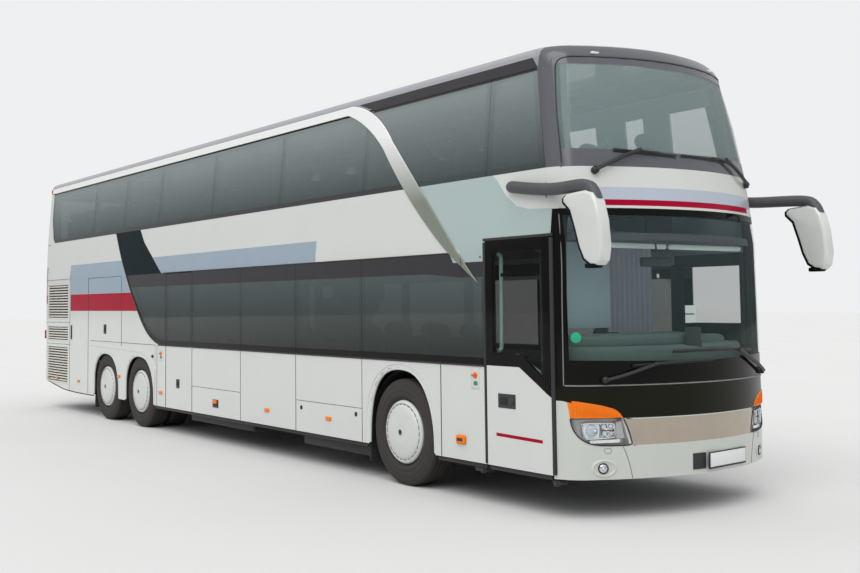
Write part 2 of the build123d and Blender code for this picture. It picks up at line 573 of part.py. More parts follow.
# ---- driver's place ----------------------------------------------------------------------------------
WHEEL_CENTRE = (FRONT_OVERHANG - 980.0, DRIVER_Y, 1260.0)
COLUMN_TILT = 35.0  # the steering column leans back from upright
DASH_BACK = FRONT_OVERHANG - 710.0
DASH_TOP = SCREEN_BOTTOM + 70.0
STEER_RADIUS = 225.0
STEER_GRIP = 28.0  # thickness of the steering wheel's rim
STEER_FLATS = 24
SHAFT = 15.0
COLUMN_RADIUS = 40.0
SPOKE_WIDTH = 34.0
dash = hull(FLOOR_TOP, DASH_TOP, WALL + 30) & block(DASH_BACK, BEYOND, -600, INNER, FLOOR_TOP, DASH_TOP)
column = Pos(*WHEEL_CENTRE) * Rot(0, -COLUMN_TILT, 0)
rim_out = extrude(RegularPolygon(STEER_RADIUS + STEER_GRIP / 2, STEER_FLATS), STEER_GRIP / 2, both=True)
rim_in = extrude(RegularPolygon(STEER_RADIUS - STEER_GRIP / 2, STEER_FLATS), STEER_GRIP / 2, both=True)
grip = rim_out - rim_in
level_edges = [e for e in grip.edges() if abs(abs(e.center().Z) - STEER_GRIP / 2) < 0.1]
grip = chamfer(level_edges, STEER_GRIP * 0.28)
hub = Cylinder(50, 44)
spokes = Box(2 * STEER_RADIUS, SPOKE_WIDTH, 14) & rim_in
wheel = grip + hub + spokes - Cylinder(SHAFT + RUNNING_FIT, 60)
put("steering_wheel", column * wheel)
tube = Pos(0, 0, -325) * Cylinder(COLUMN_RADIUS, 600) + Pos(0, 0, -10) * Cylinder(SHAFT, 50)
put("dashboard", dash + column * tube)

# ---- passenger doors: a leaf that two arms on a turning post carry out and along --------------------
ARM = 450.0  # length of a door arm
ARM_WIDTH = 40.0
ARM_DEPTH = 30.0
POST_INSET = 200.0  # post to the edge of the doorway
POST_Y = 95.0 - HALF
POST_RADIUS = 20.0
POST_TOP = CEILING - 85.0
PIN_RADIUS = 12.0
EYE_RADIUS = 26.0
EAR_GAP = 5.0
BEARING = 45.0  # half width of a post's bearing
ARM_HEIGHTS = (FLOOR_TOP + 330.0, BAND_TOP - 250.0)
DOOR_RIM = 90.0  # frame round the doors' glass
DOORWAYS = (  # name, rear edge, front edge, top of the leaf, side of the doorway where the post stands
    ("front_door", *FRONT_DOOR, DOOR_TOP, 1),
    ("middle_door", *MIDDLE_DOOR, BAND_TOP, -1),
)
bearings = []
for name, x0, x1, top, way in DOORWAYS:
    leaf_top = top - DOOR_GAP
    left, right = x0 + DOOR_GAP, x1 - DOOR_GAP
    leaf = shell(SILL, leaf_top, LEAF) & through_side(left, right, 0, ABOVE)
    glass_foot = [(left, WAIST), (right, WAIST)]
    hole_foot = [(x0 + DOOR_RIM, PANE_LOW), (x1 - DOOR_RIM, PANE_LOW)]
    hole_top = leaf_top - DOOR_RIM
    if name == "front_door":  # its glass reaches lower towards the front
        glass_foot = [(left, WAIST), (x0 + 440, WAIST), (x0 + 640, WAIST - 120), (right, WAIST - 235)]
        hole_foot = [(x0 + DOOR_RIM, WAIST + DOOR_RIM), (x0 + 470, WAIST + DOOR_RIM), (x0 + 680, WAIST - 60),
                     (x1 - DOOR_RIM, WAIST - 110)]
    pane = shell(SILL, leaf_top, GLASS) & side_prism(glass_foot + [(right, leaf_top), (left, leaf_top)])
    hole = side_prism(hole_foot + [(x1 - DOOR_RIM, hole_top), (x0 + DOOR_RIM, hole_top)])
    leaf = leaf - pane - hole
    post_x = x1 - POST_INSET if way > 0 else x0 + POST_INSET
    pin_x = post_x - way * ARM
    post_arm = cylinder_z(post_x, POST_Y, FLOOR_TOP + 10, POST_TOP + 50, POST_RADIUS)
    for z in ARM_HEIGHTS:
        low, high = z - ARM_DEPTH / 2, z + ARM_DEPTH / 2
        reach = sorted((post_x, pin_x))
        post_arm = post_arm + block(*reach, POST_Y - ARM_WIDTH / 2, POST_Y + ARM_WIDTH / 2, low, high)
        post_arm = post_arm + cylinder_z(pin_x, POST_Y, low, high, EYE_RADIUS)
        post_arm = post_arm + cylinder_z(pin_x, POST_Y, high, high + 50, PIN_RADIUS)
        ear = block(pin_x - 30, pin_x + 30, LEAF - HALF, POST_Y + 30, high + EAR_GAP, high + EAR_GAP + 30)
        leaf = leaf + (ear - cylinder_z(pin_x, POST_Y, z, z + 80, PIN_RADIUS + RUNNING_FIT))
    put(name, leaf)
    put(f"{name}_glass", pane)
    put(f"{name}_arm", post_arm)
    sides = (post_x - BEARING, post_x + BEARING, -INNER, POST_Y + BEARING)
    bore = cylinder_z(post_x, POST_Y, FLOOR_TOP + 5, POST_TOP + 55, POST_RADIUS + RUNNING_FIT)
    bearings += [block(*sides, FLOOR_TOP, FLOOR_TOP + 40) - bore, block(*sides, POST_TOP, CEILING) - bore]
put("door_bearings", *bearings)

# ---- mirrors: a slender arm round each front corner, with the housing hanging ahead of the nose -----
ARM_LOW = SCREEN_TOP + 95.0
ARM_HIGH = SCREEN_TOP + 215.0
MIRROR_THICK = 130.0
MIRROR_Y = 70.0  # the housing's inner face outside the coach's side
# plan of the arm and side view of the housing, both back from the mirrors' reach: (x, y) and (x, z)
MIRROR_ARM = ((-1340, 50), (-1340, -15), (-780, -55), (-360, -110), (-120, -115), (-80, -75), (-340, -45),
              (-750, 13), (-790, 65))
HOUSING = ((-420, 2610), (-180, 2640), (-80, 2600), (-20, 2400), (0, 2200), (-40, 2060), (-120, 2050),
           (-220, 2120), (-280, 2300), (-340, 2480), (-420, 2560))
arm_plan = [(MIRROR_REACH + x, y - HALF, ARM_LOW) for x, y in MIRROR_ARM]
mirror_arm = extrude(flat_face(arm_plan), ARM_HIGH - ARM_LOW, dir=(0, 0, 1))
mirror_arm = mirror_arm - hull(ARM_LOW - 5, ARM_HIGH + 5, 0)
housing_view = [(MIRROR_REACH + x, z) for x, z in HOUSING]
housing = side_prism(housing_view, -HALF - MIRROR_Y - MIRROR_THICK, -HALF - MIRROR_Y)
put("mirror_arms", mirror_arm, other_side(mirror_arm))
put("mirrors", housing - mirror_arm, other_side(housing - mirror_arm))

# ---- wheels --------------------------------------------------------------------------------------------
TYRE_MID = TYRE_OUTER_FACE - TYRE_WIDTH / 2
HALF_TYRE = TYRE_WIDTH / 2
BEAD = 35.0  # a tyre's bead lies this far in from its wall
RIM_SHEET = 22.0
SPINDLE = 45.0
CAP_REACH = 12.0  # the wheel caps stand out this far past the tyre
CAP_RADIUS = 170.0
CAP_Y = TYRE_OUTER_FACE + CAP_REACH
# half of a tyre's section from bead to tread: radius, distance in from the wall
TYRE_SHAPE = ((RIM_RADIUS + 10, BEAD), (RIM_RADIUS + 70, 0), (TYRE_RADIUS - 50, 4), (TYRE_RADIUS - 12, 17),
              (TYRE_RADIUS, 38))


def wheel_solid(rows, x):
    """A solid round a wheel's axis through rows of (radius, y), as flats all round."""
    turns = [2 * math.pi * n / WHEEL_FLATS for n in range(WHEEL_FLATS)]
    return flat_solid([[(x + r * math.cos(a), y, AXLE_Z + r * math.sin(a)) for a in turns] for r, y in rows])


def tyre(x, mid):
    """A tyre on the right side, its middle at y = -mid."""
    outer = [(r, -(mid + HALF_TYRE - back)) for r, back in TYRE_SHAPE]
    inner = [(r, -(mid - HALF_TYRE + back)) for r, back in reversed(TYRE_SHAPE)]
    bore = ((RIM_RADIUS, -mid - HALF_TYRE), (RIM_RADIUS, HALF_TYRE - mid))
    return wheel_solid(outer + inner, x) - wheel_solid(bore, x)


def rim(x, inner_mid):
    """Rim, disc and domed cap on the right side, over all its tyres; inner_mid is the inmost one."""
    outer = BEAD - TYRE_OUTER_FACE
    inner = HALF_TYRE - BEAD - inner_mid
    dome = ((RIM_RADIUS, inner), (RIM_RADIUS, outer), (RIM_RADIUS - 25, outer - 20), (CAP_RADIUS, -CAP_Y))
    well = RIM_RADIUS - RIM_SHEET
    hollow = wheel_solid(((well, inner), (well, outer + 40), (150, outer + 70)), x)
    hub_face = outer + 100
    boss = wheel_solid(((CAP_RADIUS - 20, -CAP_Y), (CAP_RADIUS - 20, hub_face)), x)
    bore = cylinder_y(x, -CAP_Y - 1, hub_face + 1, AXLE_Z, SPINDLE + RUNNING_FIT)
    return (wheel_solid(dome, x) - hollow) + boss - bore


# name, x, steps in from the outermost tyre
WHEELS = (("front", 0.0, (0,)), ("drive", DRIVE_X, (0, TWIN_PITCH)), ("tag", TAG_X, (0,)))
for name, x, steps_in in WHEELS:
    tyres = [tyre(x, TYRE_MID - step) for step in steps_in]
    rims = rim(x, TYRE_MID - steps_in[-1])
    put(f"{name}_tyre_right", *tyres)
    put(f"{name}_tyre_left", *[other_side(t) for t in tyres])
    put(f"{name}_rim_right", rims)
    put(f"{name}_rim_left", other_side(rims))

# ---- knuckles and axles -----------------------------------------------------------------------------------
SPINDLE_END = CAP_Y - 5.0
KING_Y = 1000.0
KING_RADIUS = 22.0
KING_HALF = 110.0  # half length of a kingpin
PLATE_IN = KING_Y + 50.0  # inner face of the knuckle's upright
PLATE = 25.0
JAW = 30.0
knuckle = cylinder_y(0, -(PLATE_IN + 10), -SPINDLE_END, AXLE_Z, SPINDLE)
knuckle = knuckle + block(-60, 60, -(PLATE_IN + PLATE), -PLATE_IN, AXLE_Z - 120, AXLE_Z + 120)
for z in (AXLE_Z - 120, AXLE_Z + 120 - JAW):
    knuckle = knuckle + block(-40, 40, -(PLATE_IN + 10), -(KING_Y - 30), z, z + JAW)
knuckle = knuckle + cylinder_z(0, -KING_Y, AXLE_Z - KING_HALF, AXLE_Z + KING_HALF, KING_RADIUS)
put("knuckle_right", knuckle)
put("knuckle_left", other_side(knuckle))

# the front beam is dropped under the low floor and rises to the kingpin eyes
BEAM_DEPTH = 85.0
BEAM_TOP = FLOOR_TOP - FLOOR - 35.0
RISER_Y = (KING_Y - 100.0, KING_Y - 60.0)
EYE_HALF = 80.0
half_axle = block(-50, 50, -RISER_Y[1], 0, BEAM_TOP - BEAM_DEPTH, BEAM_TOP)
half_axle = half_axle + block(-50, 50, -RISER_Y[1], -RISER_Y[0], BEAM_TOP - BEAM_DEPTH, AXLE_Z + EYE_HALF)
half_axle = half_axle + block(-30, 30, -KING_Y, -RISER_Y[1], AXLE_Z - EYE_HALF, AXLE_Z + EYE_HALF)
half_axle = half_axle + cylinder_z(0, -KING_Y, AXLE_Z - EYE_HALF, AXLE_Z + EYE_HALF, 40)
half_axle = half_axle - cylinder_z(0, -KING_Y, 0, 2 * AXLE_Z, KING_RADIUS + RUNNING_FIT)
half_axle = half_axle + cylinder_z(0, -400, BEAM_TOP, FLOOR_TOP - FLOOR, 75)
put("front_axle", half_axle + other_side(half_axle))

# rear axles: spindles through the hubs, a tube between them and air bellows under the frame rails
BELLOWS_RADIUS = 105.0
DIFFERENTIAL = 210.0
AXLES = (  # name, x, reach of the tube from the middle, tube radius
    ("drive_axle", DRIVE_X, TYRE_MID - TWIN_PITCH - HALF_TYRE + 30, 90.0),
    ("tag_axle", TAG_X, TYRE_MID - HALF_TYRE + 10, 70.0),
)
for name, x, tube_end, tube_radius in AXLES:
    half_axle = cylinder_y(x, -SPINDLE_END, 0, AXLE_Z, SPINDLE)
    half_axle = half_axle + cylinder_y(x, -tube_end, 0, AXLE_Z, tube_radius)
    half_axle = half_axle + cylinder_z(x, -RAIL_Y, AXLE_Z, RAIL_TOP - RAIL_DEPTH, BELLOWS_RADIUS)
    axle = half_axle + other_side(half_axle)
    if name == "drive_axle":
        axle = axle + cylinder_y(x, -150, 150, AXLE_Z, DIFFERENTIAL)
    put(name, axle)

# ---- polished sweep: a strip over the rear windows that falls forward across the belt ----------------------
SWEEP_STAND = 12.0  # it stands this far off the side
STRIP_TOP = ROOF_SHOULDER
STRIP_REAR = REAR_END + 165.0
TIP = (1215.0, WAIST + 730)


def sweep_point(x, part):
    """A point of the sweep's edge, its height a part of the way from the tip to the top."""
    return (x, TIP[1] + part * (STRIP_TOP - TIP[1]))


outer_end = sweep_point(-255, 0.759)
inner_start = sweep_point(-385, 0.7128)
inner_mid = sweep_point(-705, 0.8487)
outline = [
    Line((STRIP_REAR, STRIP_TOP), (-1045, STRIP_TOP)),
    ThreePointArc((-1045, STRIP_TOP), sweep_point(-635, 0.9272), outer_end),
    Line(outer_end, TIP),
    ThreePointArc(TIP, sweep_point(375, 0.3154), inner_start),
    ThreePointArc(inner_start, inner_mid, (-1125, CANT_RAIL)),
    Line((-1125, CANT_RAIL), (STRIP_REAR, CANT_RAIL)),
    Line((STRIP_REAR, CANT_RAIL), (STRIP_REAR, STRIP_TOP)),
]
flat = make_face([e for part in outline for e in part.edges()])
sweep_prism = extrude(Plane.XZ.offset(HALF - 600) * flat, 700, dir=(0, -1, 0))
sweep = (hull(TIP[1] - 50, STRIP_TOP, -SWEEP_STAND) - hull(TIP[1] - 50, STRIP_TOP, 0)) & sweep_prism
put("silver_sweeps", sweep, other_side(sweep))

# ---- write -----------------------------------------------------------------------------------
MIDDLE_X = (MIRROR_REACH + REAR_END) / 2
for node, solids in sorted(PIECES.items()):
    placed = [s.moved(Location((-MIDDLE_X, 0, 0))) for s in solids]
    export_step(placed[0] if len(placed) == 1 else Compound(children=placed), f"parts/{node}.step")
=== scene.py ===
import math

import bmesh
import bpy
from mathutils import Matrix, Vector
from mathutils.bvhtree import BVHTree


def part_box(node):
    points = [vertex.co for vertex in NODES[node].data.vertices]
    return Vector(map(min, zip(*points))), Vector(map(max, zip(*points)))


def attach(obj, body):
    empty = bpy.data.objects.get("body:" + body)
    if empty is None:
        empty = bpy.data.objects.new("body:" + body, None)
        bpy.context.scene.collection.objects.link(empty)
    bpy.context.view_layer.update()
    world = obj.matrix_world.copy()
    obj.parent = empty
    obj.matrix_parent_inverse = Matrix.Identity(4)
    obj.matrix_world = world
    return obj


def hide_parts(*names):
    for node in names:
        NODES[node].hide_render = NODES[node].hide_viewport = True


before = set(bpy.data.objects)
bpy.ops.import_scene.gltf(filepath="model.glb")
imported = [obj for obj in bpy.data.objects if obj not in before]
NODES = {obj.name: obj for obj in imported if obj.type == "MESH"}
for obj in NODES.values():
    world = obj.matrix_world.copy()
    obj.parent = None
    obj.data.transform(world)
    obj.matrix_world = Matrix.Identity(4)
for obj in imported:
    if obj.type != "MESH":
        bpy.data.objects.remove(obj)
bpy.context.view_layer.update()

# ---- camera ----
# Stands off the right front corner at eye height, level but for a slight roll; metres and degrees.
stand = (13.219, -7.700, 1.763)
yaw, pitch, roll = (math.radians(a) for a in (146.64, 3.84, -0.44))
lens_mm, shift_across, shift_up = 47.06, 0.0815, -0.0666
camera_data = bpy.data.cameras.new("camera")
camera_data.sensor_width = 36.0
camera_data.lens = lens_mm
camera_data.shift_x, camera_data.shift_y = shift_across, shift_up
camera_data.clip_end = 500.0
camera = bpy.data.objects.new("camera", camera_data)
bpy.context.scene.collection.objects.link(camera)
ahead = Vector((math.cos(yaw) * math.cos(pitch), math.sin(yaw) * math.cos(pitch), math.sin(pitch)))
level = Vector((math.sin(yaw), -math.cos(yaw), 0))
upright = level.cross(ahead)
right_hand = level * math.cos(roll) + upright * math.sin(roll)
top_hand = upright * math.cos(roll) - level * math.sin(roll)
hands = zip(right_hand, top_hand, -ahead, stand)
camera.matrix_world = Matrix((*hands, (0, 0, 0, 1)))
bpy.context.scene.camera = camera


# ---- floor and light ----
# A pale floor, an even sky that is brighter overhead, and one wide soft lamp for the shadow.
def tune(node, **values):
    """Set a shader node's inputs; an underscore stands for a blank in their names."""
    for name, value in values.items():
        node.inputs[name.replace("_", " ")].default_value = value
    return node


def surface(
    name, colour, second, scale=6, rough=(0.4, 0.5), metallic=0, coat=0, bump=0, alpha=1, shine=0.5
):
    """A material whose colour and gloss wander between two values over the object."""
    material = bpy.data.materials.new(name)
    material.use_nodes = True
    nodes, link = material.node_tree.nodes, material.node_tree.links.new
    shader = tune(
        nodes["Principled BSDF"], Metallic=metallic, Coat_Weight=coat, Coat_Roughness=0.04,
        Specular_IOR_Level=shine, Alpha=alpha,
    )
    place = nodes.new("ShaderNodeTexCoord")
    noise = tune(nodes.new("ShaderNodeTexNoise"), Scale=scale, Detail=5)
    link(place.outputs["Object"], noise.inputs["Vector"])
    mix = nodes.new("ShaderNodeMix")
    mix.data_type = "RGBA"
    mix.inputs[6].default_value, mix.inputs[7].default_value = linear(colour), linear(second)
    link(noise.outputs["Fac"], mix.inputs[0])
    link(mix.outputs[2], shader.inputs["Base Color"])
    gloss = tune(nodes.new("ShaderNodeMapRange"), To_Min=rough[0], To_Max=rough[1])
    link(noise.outputs["Fac"], gloss.inputs["Value"])
    link(gloss.outputs["Result"], shader.inputs["Roughness"])
    if bump:
        grain = tune(nodes.new("ShaderNodeBump"), Strength=bump, Distance=0.002)
        link(noise.outputs["Fac"], grain.inputs["Height"])
        link(grain.outputs["Normal"], shader.inputs["Normal"])
    return material


def linear(colour):
    """A colour of 0 to 255 a channel, as it shows on a screen, made linear."""
    parts = [c / 255 for c in colour]
    return (*[p / 12.92 if p <= 0.04045 else ((p + 0.055) / 1.055) ** 2.4 for p in parts], 1)


def made(name, build, *materials):
    """A new object whose mesh is drawn by build(bm)."""
    bm = bmesh.new()
    build(bm)
    mesh = bpy.data.meshes.new(name)
    bm.to_mesh(mesh)
    bm.free()
    for material in materials:
        mesh.materials.append(material)
    piece = bpy.data.objects.new(name, mesh)
    bpy.context.scene.collection.objects.link(piece)
    return piece


floor_half = 150.0
floor = made(
    "floor",
    lambda bm: bmesh.ops.create_grid(bm, x_segments=1, y_segments=1, size=floor_half),
    surface("floor_paint", (214, 214, 212), (208, 208, 206), 0.3, (0.85, 0.95)),
)
sun_data = bpy.data.lights.new("sky_lamp", "SUN")
sun_data.energy = 1.5
sun_data.angle = math.radians(50)
sun = bpy.data.objects.new("sky_lamp", sun_data)
sun.rotation_euler = (math.radians(38), 0, math.radians(35))
bpy.context.scene.collection.objects.link(sun)
world = bpy.data.worlds.new("sky")
bpy.context.scene.world = world
world.use_nodes = True
sky, sky_link = world.node_tree.nodes, world.node_tree.links.new
direction = sky.new("ShaderNodeTexCoord")
parts = sky.new("ShaderNodeSeparateXYZ")
sky_link(direction.outputs["Generated"], parts.inputs["Vector"])
height = tune(sky.new("ShaderNodeMapRange"), From_Min=-0.05, From_Max=0.6)
sky_link(parts.outputs["Z"], height.inputs["Value"])
ramp = sky.new("ShaderNodeValToRGB")
ramp.color_ramp.elements[0].color = (0.30, 0.32, 0.32, 1)
ramp.color_ramp.elements[1].color = (0.98, 0.99, 1, 1)
sky_link(height.outputs["Result"], ramp.inputs["Fac"])
sky_link(ramp.outputs["Color"], sky["Background"].inputs["Color"])
plain = tune(sky.new("ShaderNodeBackground"), Color=(0.86, 0.87, 0.88, 1))
rays = sky.new("ShaderNodeLightPath")
choice = sky.new("ShaderNodeMixShader")
sky_link(rays.outputs["Is Camera Ray"], choice.inputs["Fac"])
sky_link(sky["Background"].outputs["Background"], choice.inputs[1])
sky_link(plain.outputs["Background"], choice.inputs[2])
sky_link(choice.outputs["Shader"], sky["World Output"].inputs["Surface"])
bpy.context.scene.view_settings.view_transform = "Standard"


def place_at(piece, body, slot, *replaced):
    """Let a finished piece ride on a body and stand for CAD nodes; its slot is not used."""
    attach(piece, body)
    if replaced:
        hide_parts(*replaced)
    return piece


def joined(node, bm):
    """Draw a CAD node's surface with equal corners merged and level triangles joined."""
    source = NODES[node].data
    corners = [bm.verts.new(v.co) for v in source.vertices]
    for polygon in source.polygons:
        bm.faces.new([corners[i] for i in polygon.vertices])
    bmesh.ops.remove_doubles(bm, verts=bm.verts, dist=2e-5)
    bmesh.ops.dissolve_limit(bm, angle_limit=math.radians(0.3), verts=bm.verts, edges=bm.edges)


def inside(spot, outline):
    """Whether a point lies in an outline."""
    found = False
    for (ax, ay), (bx, by) in zip(outline, outline[1:] + outline[:1]):
        if (ay > spot[1]) != (by > spot[1]) and spot[0] < ax + (spot[1] - ay) * (bx - ax) / (by - ay):
            found = not found
    return found


def paint_fields(bm, fields, across=0):
    """Cut outlines of (x or y, z) right through a mesh and give each its material's index."""
    for index, outline in fields:
        spans = [(min(p[i] for p in outline) - 0.01, max(p[i] for p in outline) + 0.01) for i in (0, 1)]

        def touched():
            for face in bm.faces:
                values = [[v.co[axis] for v in face.verts] for axis in (across, 2)]
                if all(min(v) < span[1] and max(v) > span[0] for v, span in zip(values, spans)):
                    yield face

        for (ax, az), (bx, bz) in zip(outline, outline[1:] + outline[:1]):
            normal, point = Vector((0, 0, ax - bx)), Vector((0, 0, az))
            normal[across], point[across] = bz - az, ax
            faces = list(touched())
            edges = {e for f in faces for e in f.edges}
            verts = {v for f in faces for v in f.verts}
            bmesh.ops.bisect_plane(
                bm, geom=[*verts, *edges, *faces], dist=1e-5, plane_co=point, plane_no=normal.normalized()
            )
        for face in touched():
            centre = face.calc_center_median()
            if inside((centre[across], centre.z), outline):
                face.material_index = index


def smooth(bm, degrees):
    """Round shading over edges that turn less than an angle, crisp edges elsewhere."""
    for face in bm.faces:
        face.smooth = True
    for edge in bm.edges:
        edge.smooth = len(edge.link_faces) == 2 and edge.calc_face_angle(0) < math.radians(degrees)


def skin(node, materials, fields=(), across=0, degrees=24):
    """A CAD node's surface as one smooth piece with coloured fields."""

    def build(bm):
        joined(node, bm)
        paint_fields(bm, fields, across)
        smooth(bm, degrees)

    piece = made(f"{node}_skin", build, *materials)
    even = piece.modifiers.new("even", "WEIGHTED_NORMAL")
    even.keep_sharp = True
    return piece


def painted(node, slot, materials, fields=(), across=0, body="body"):
    """A CAD node's smooth surface on its body, standing for the node."""
    place_at(skin(node, materials, fields, across), body, slot, node)


axle_x = sum(corner.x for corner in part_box("front_tyre_right")) / 2
station = axle_x - 0.045  # places along the coach are counted from here
white = surface("white_paint", (207, 209, 205), (200, 202, 198), 1.6, (0.16, 0.24), coat=0.4)
roof_grey = surface("roof_paint", (152, 152, 158), (142, 143, 149), 1.4, (0.2, 0.3), 0.35, 0.5)
surround = surface("window_surround_paint", (57, 55, 58), (51, 50, 53), 5, (0.3, 0.4), shine=0.25)
black_gloss = surface("gloss_black_paint", (20, 20, 12), (26, 26, 16), 5, (0.08, 0.14), shine=0.1)
blue = surface("blue_grey_stripe", (148, 163, 176), (141, 158, 172), 3, (0.2, 0.28), coat=0.2)
crimson = surface("crimson_stripe", (162, 2, 44), (152, 2, 40), 3, (0.25, 0.32), shine=0.08)
mint = surface("mint_paint", (166, 181, 180), (160, 176, 175), 3, (0.2, 0.28), coat=0.3)
deep_blue = surface("deep_blue_paint", (8, 22, 27), (12, 27, 32), 4, (0.3, 0.4), shine=0.05)
pillar_grey = surface("pillar_paint", (82, 82, 87), (74, 74, 79), 4, (0.25, 0.35), coat=0.3)
violet_frit = surface("violet_glass_border", (88, 89, 95), (82, 83, 90), 8, (0.08, 0.14))
polished = surface("polished_metal", (184, 173, 158), (170, 161, 149), 9, (0.08, 0.16), 1)


def area(index, *points):
    """A field on the sides, painted with one of the materials."""
    return index, [(station + x, z) for x, z in points]


def span(index, x0, x1, z0, z1):
    """A rectangular field on the sides."""
    return area(index, (x0, z0), (x1, z0), (x1, z1), (x0, z1))


rear_edge = (
    (-7.68, 2.905), (-7.41, 2.55), (-7.12, 2.23), (-6.91, 1.96), (-6.73, 1.77), (-6.56, 1.588),
    (-6.41, 1.462), (-6.3, 1.385), (-6.18, 1.322), (-6.05, 1.272), (-5.93, 1.238), (-5.8, 1.22),
    (-5.6, 1.215),
)
belt_fields = [
    area(1, (-10.66, 2.901), (-10.77, 2.975), (-10.935, 3.345), (-10.98, 3.83), (2.4, 3.83), (2.4, 2.901)),
    span(2, -9.675, -1.56, 2.2, 2.47),
    area(
        4, *rear_edge[:3], (-7.09, 2.2), (-5.75, 2.2), (-5.9, 2.3), (-6.2, 2.5), (-6.52, 2.71),
        (-6.71, 2.905),
    ),
    area(3, (0.18, 2.903), (0.6, 2.5), (1.06, 2.2), (2.3, 2.2), (2.3, 2.903)),
    area(
        0, (1.419, 2.903), (1.482, 2.853), (1.608, 2.71), (1.756, 2.605), (1.921, 2.565), (2.3, 2.549),
        (2.3, 2.903),
    ),
    area(5, (2.1, 2.903), (1.925, 3.79), (1.92, 3.83), (2.4, 3.83), (2.4, 2.903)),
    area(6, (2.142, 2.95), (1.97, 3.79), (1.965, 3.81), (2.4, 3.81), (2.4, 2.95)),
]
painted(
    "upper_sides", "white_paint", [white, surround, blue, mint, deep_blue, pillar_grey, violet_frit],
    belt_fields,
)
tail_fields = [span(2, -9.635, -6.5, 1.975, 2.3), span(4, -9.635, -6.5, 1.695, 1.972)]
band_fields = tail_fields + [
    area(1, (-7.06, 2.3), *rear_edge[2:], (-5.83, 1.1), (2.4, 1.1), (2.4, 2.3)),
    area(3, (1.1, 2.14), (1.345, 2.14), (1.345, 2.3), (0.98, 2.3)),
]
painted("window_band", "white_paint", [white, surround, blue, mint, crimson], band_fields)
for side in ("right", "left"):
    name = f"luggage_door_{side}"
    painted(name, "white_paint", [white, surround, blue, mint, crimson], tail_fields, body=name)
# Near black for the inside of slots, grooves and recesses: painted shade.
slot_shade = surface("shadowed_slot", (24, 23, 22), (32, 31, 30), 20, (0.6, 0.8))
bumper_white = surface("bumper_paint", (194, 197, 191), (187, 190, 184), 1.6, (0.3, 0.38), coat=0.2)
painted("front_bumper", "white_paint", [bumper_white])
axle_places, arch_reach, arch_top = (0.045, -6.595, -7.945), 0.6, 1.2
for node in ("lower_panels", "rear_bumper", "service_flap_rear", "service_flap_front"):
    panel = skin(node, [white, slot_shade])
    for polygon in panel.data.polygons:  # the edges of the sheet inside the wheel arches are painted shade
        near = any(abs(polygon.center.x - station - x) < arch_reach for x in axle_places)
        if near and polygon.center.z < arch_top and abs(polygon.normal.y) < 0.5:
            polygon.material_index = 1
    place_at(panel, node if node.startswith("service") else "body", "white_paint", node)
bar_field = [area(1, (-0.88, 3.897), (-0.6, 3.8), (1.93, 3.8), (1.86, 3.897))]
front_field = [area(2, (1.93, 3.7), (3, 3.7), (3, 4.1), (1.99, 4.1), (1.93, 3.97))]
painted("roof", "grey_paint", [roof_grey, surround, pillar_grey], bar_field + front_field)

# ---- nose ----
# Moulded fascia between the decks with two stripes, dark bonded frames round both windscreens,
# and below them a gloss black panel, a polished panel between the lamps, and the bumper.
lavender = surface("lavender_stripe", (178, 185, 198), (172, 180, 194), 3, (0.2, 0.28), coat=0.3)
frame_black = surface("screen_frame_paint", (10, 12, 11), (15, 17, 16), 6, (0.3, 0.4), shine=0.08)


def stripe(index, half, z0, z1):
    """A rectangular field across the nose or the tail, painted with one of the materials."""
    return index, [(-half, z0), (half, z0), (half, z1), (-half, z1)]


nose_fields = [
    stripe(1, 1.4, 1, 2.548),
    stripe(1, 1.4, 2.905, 4),
    stripe(2, 0.95, 2.57, 2.62),
    stripe(3, 0.95, 2.62, 2.725),
]
painted("nose_frame", "white_paint", [white, frame_black, crimson, lavender], nose_fields, 1)
painted("front_panel", "black_plastic", [black_gloss])
painted("nose_trim", "polished_trim", [polished])

# ---- glass ----
# Bonded panes of tinted safety glass with a printed dark border, darker towards their foot and lighter
# towards their head: a painted reflection of the sky. The windscreens are nearly clear and the doors' panes
# are dark.


def glass(name, foot, head, low, high, alpha):
    """A glossy material, see-through by its alpha, whose colour runs from its foot colour to its head colour:
    a painted reflection.
    """
    material = surface(name, foot, head, 1, (0.02, 0.05), alpha=alpha, shine=0.3)
    nodes, link = material.node_tree.nodes, material.node_tree.links.new
    place = next(n for n in nodes if n.type == "TEX_COORD")
    mix = next(n for n in nodes if n.type == "MIX")
    parts = nodes.new("ShaderNodeSeparateXYZ")
    link(place.outputs["Object"], parts.inputs["Vector"])
    shade = tune(nodes.new("ShaderNodeMapRange"), From_Min=low, From_Max=high)
    link(parts.outputs["Z"], shade.inputs["Value"])
    link(shade.outputs["Result"], mix.inputs[0])
    tune(nodes["Principled BSDF"], IOR=1.5)
    return material


def repaint_left(piece, start, old, new):
    """Change one material for another on the left side, from a place to the front."""
    for polygon in piece.data.polygons:
        x, y, _ = polygon.center
        if y > 0 and x > station + start and polygon.material_index == old:
            polygon.material_index = new
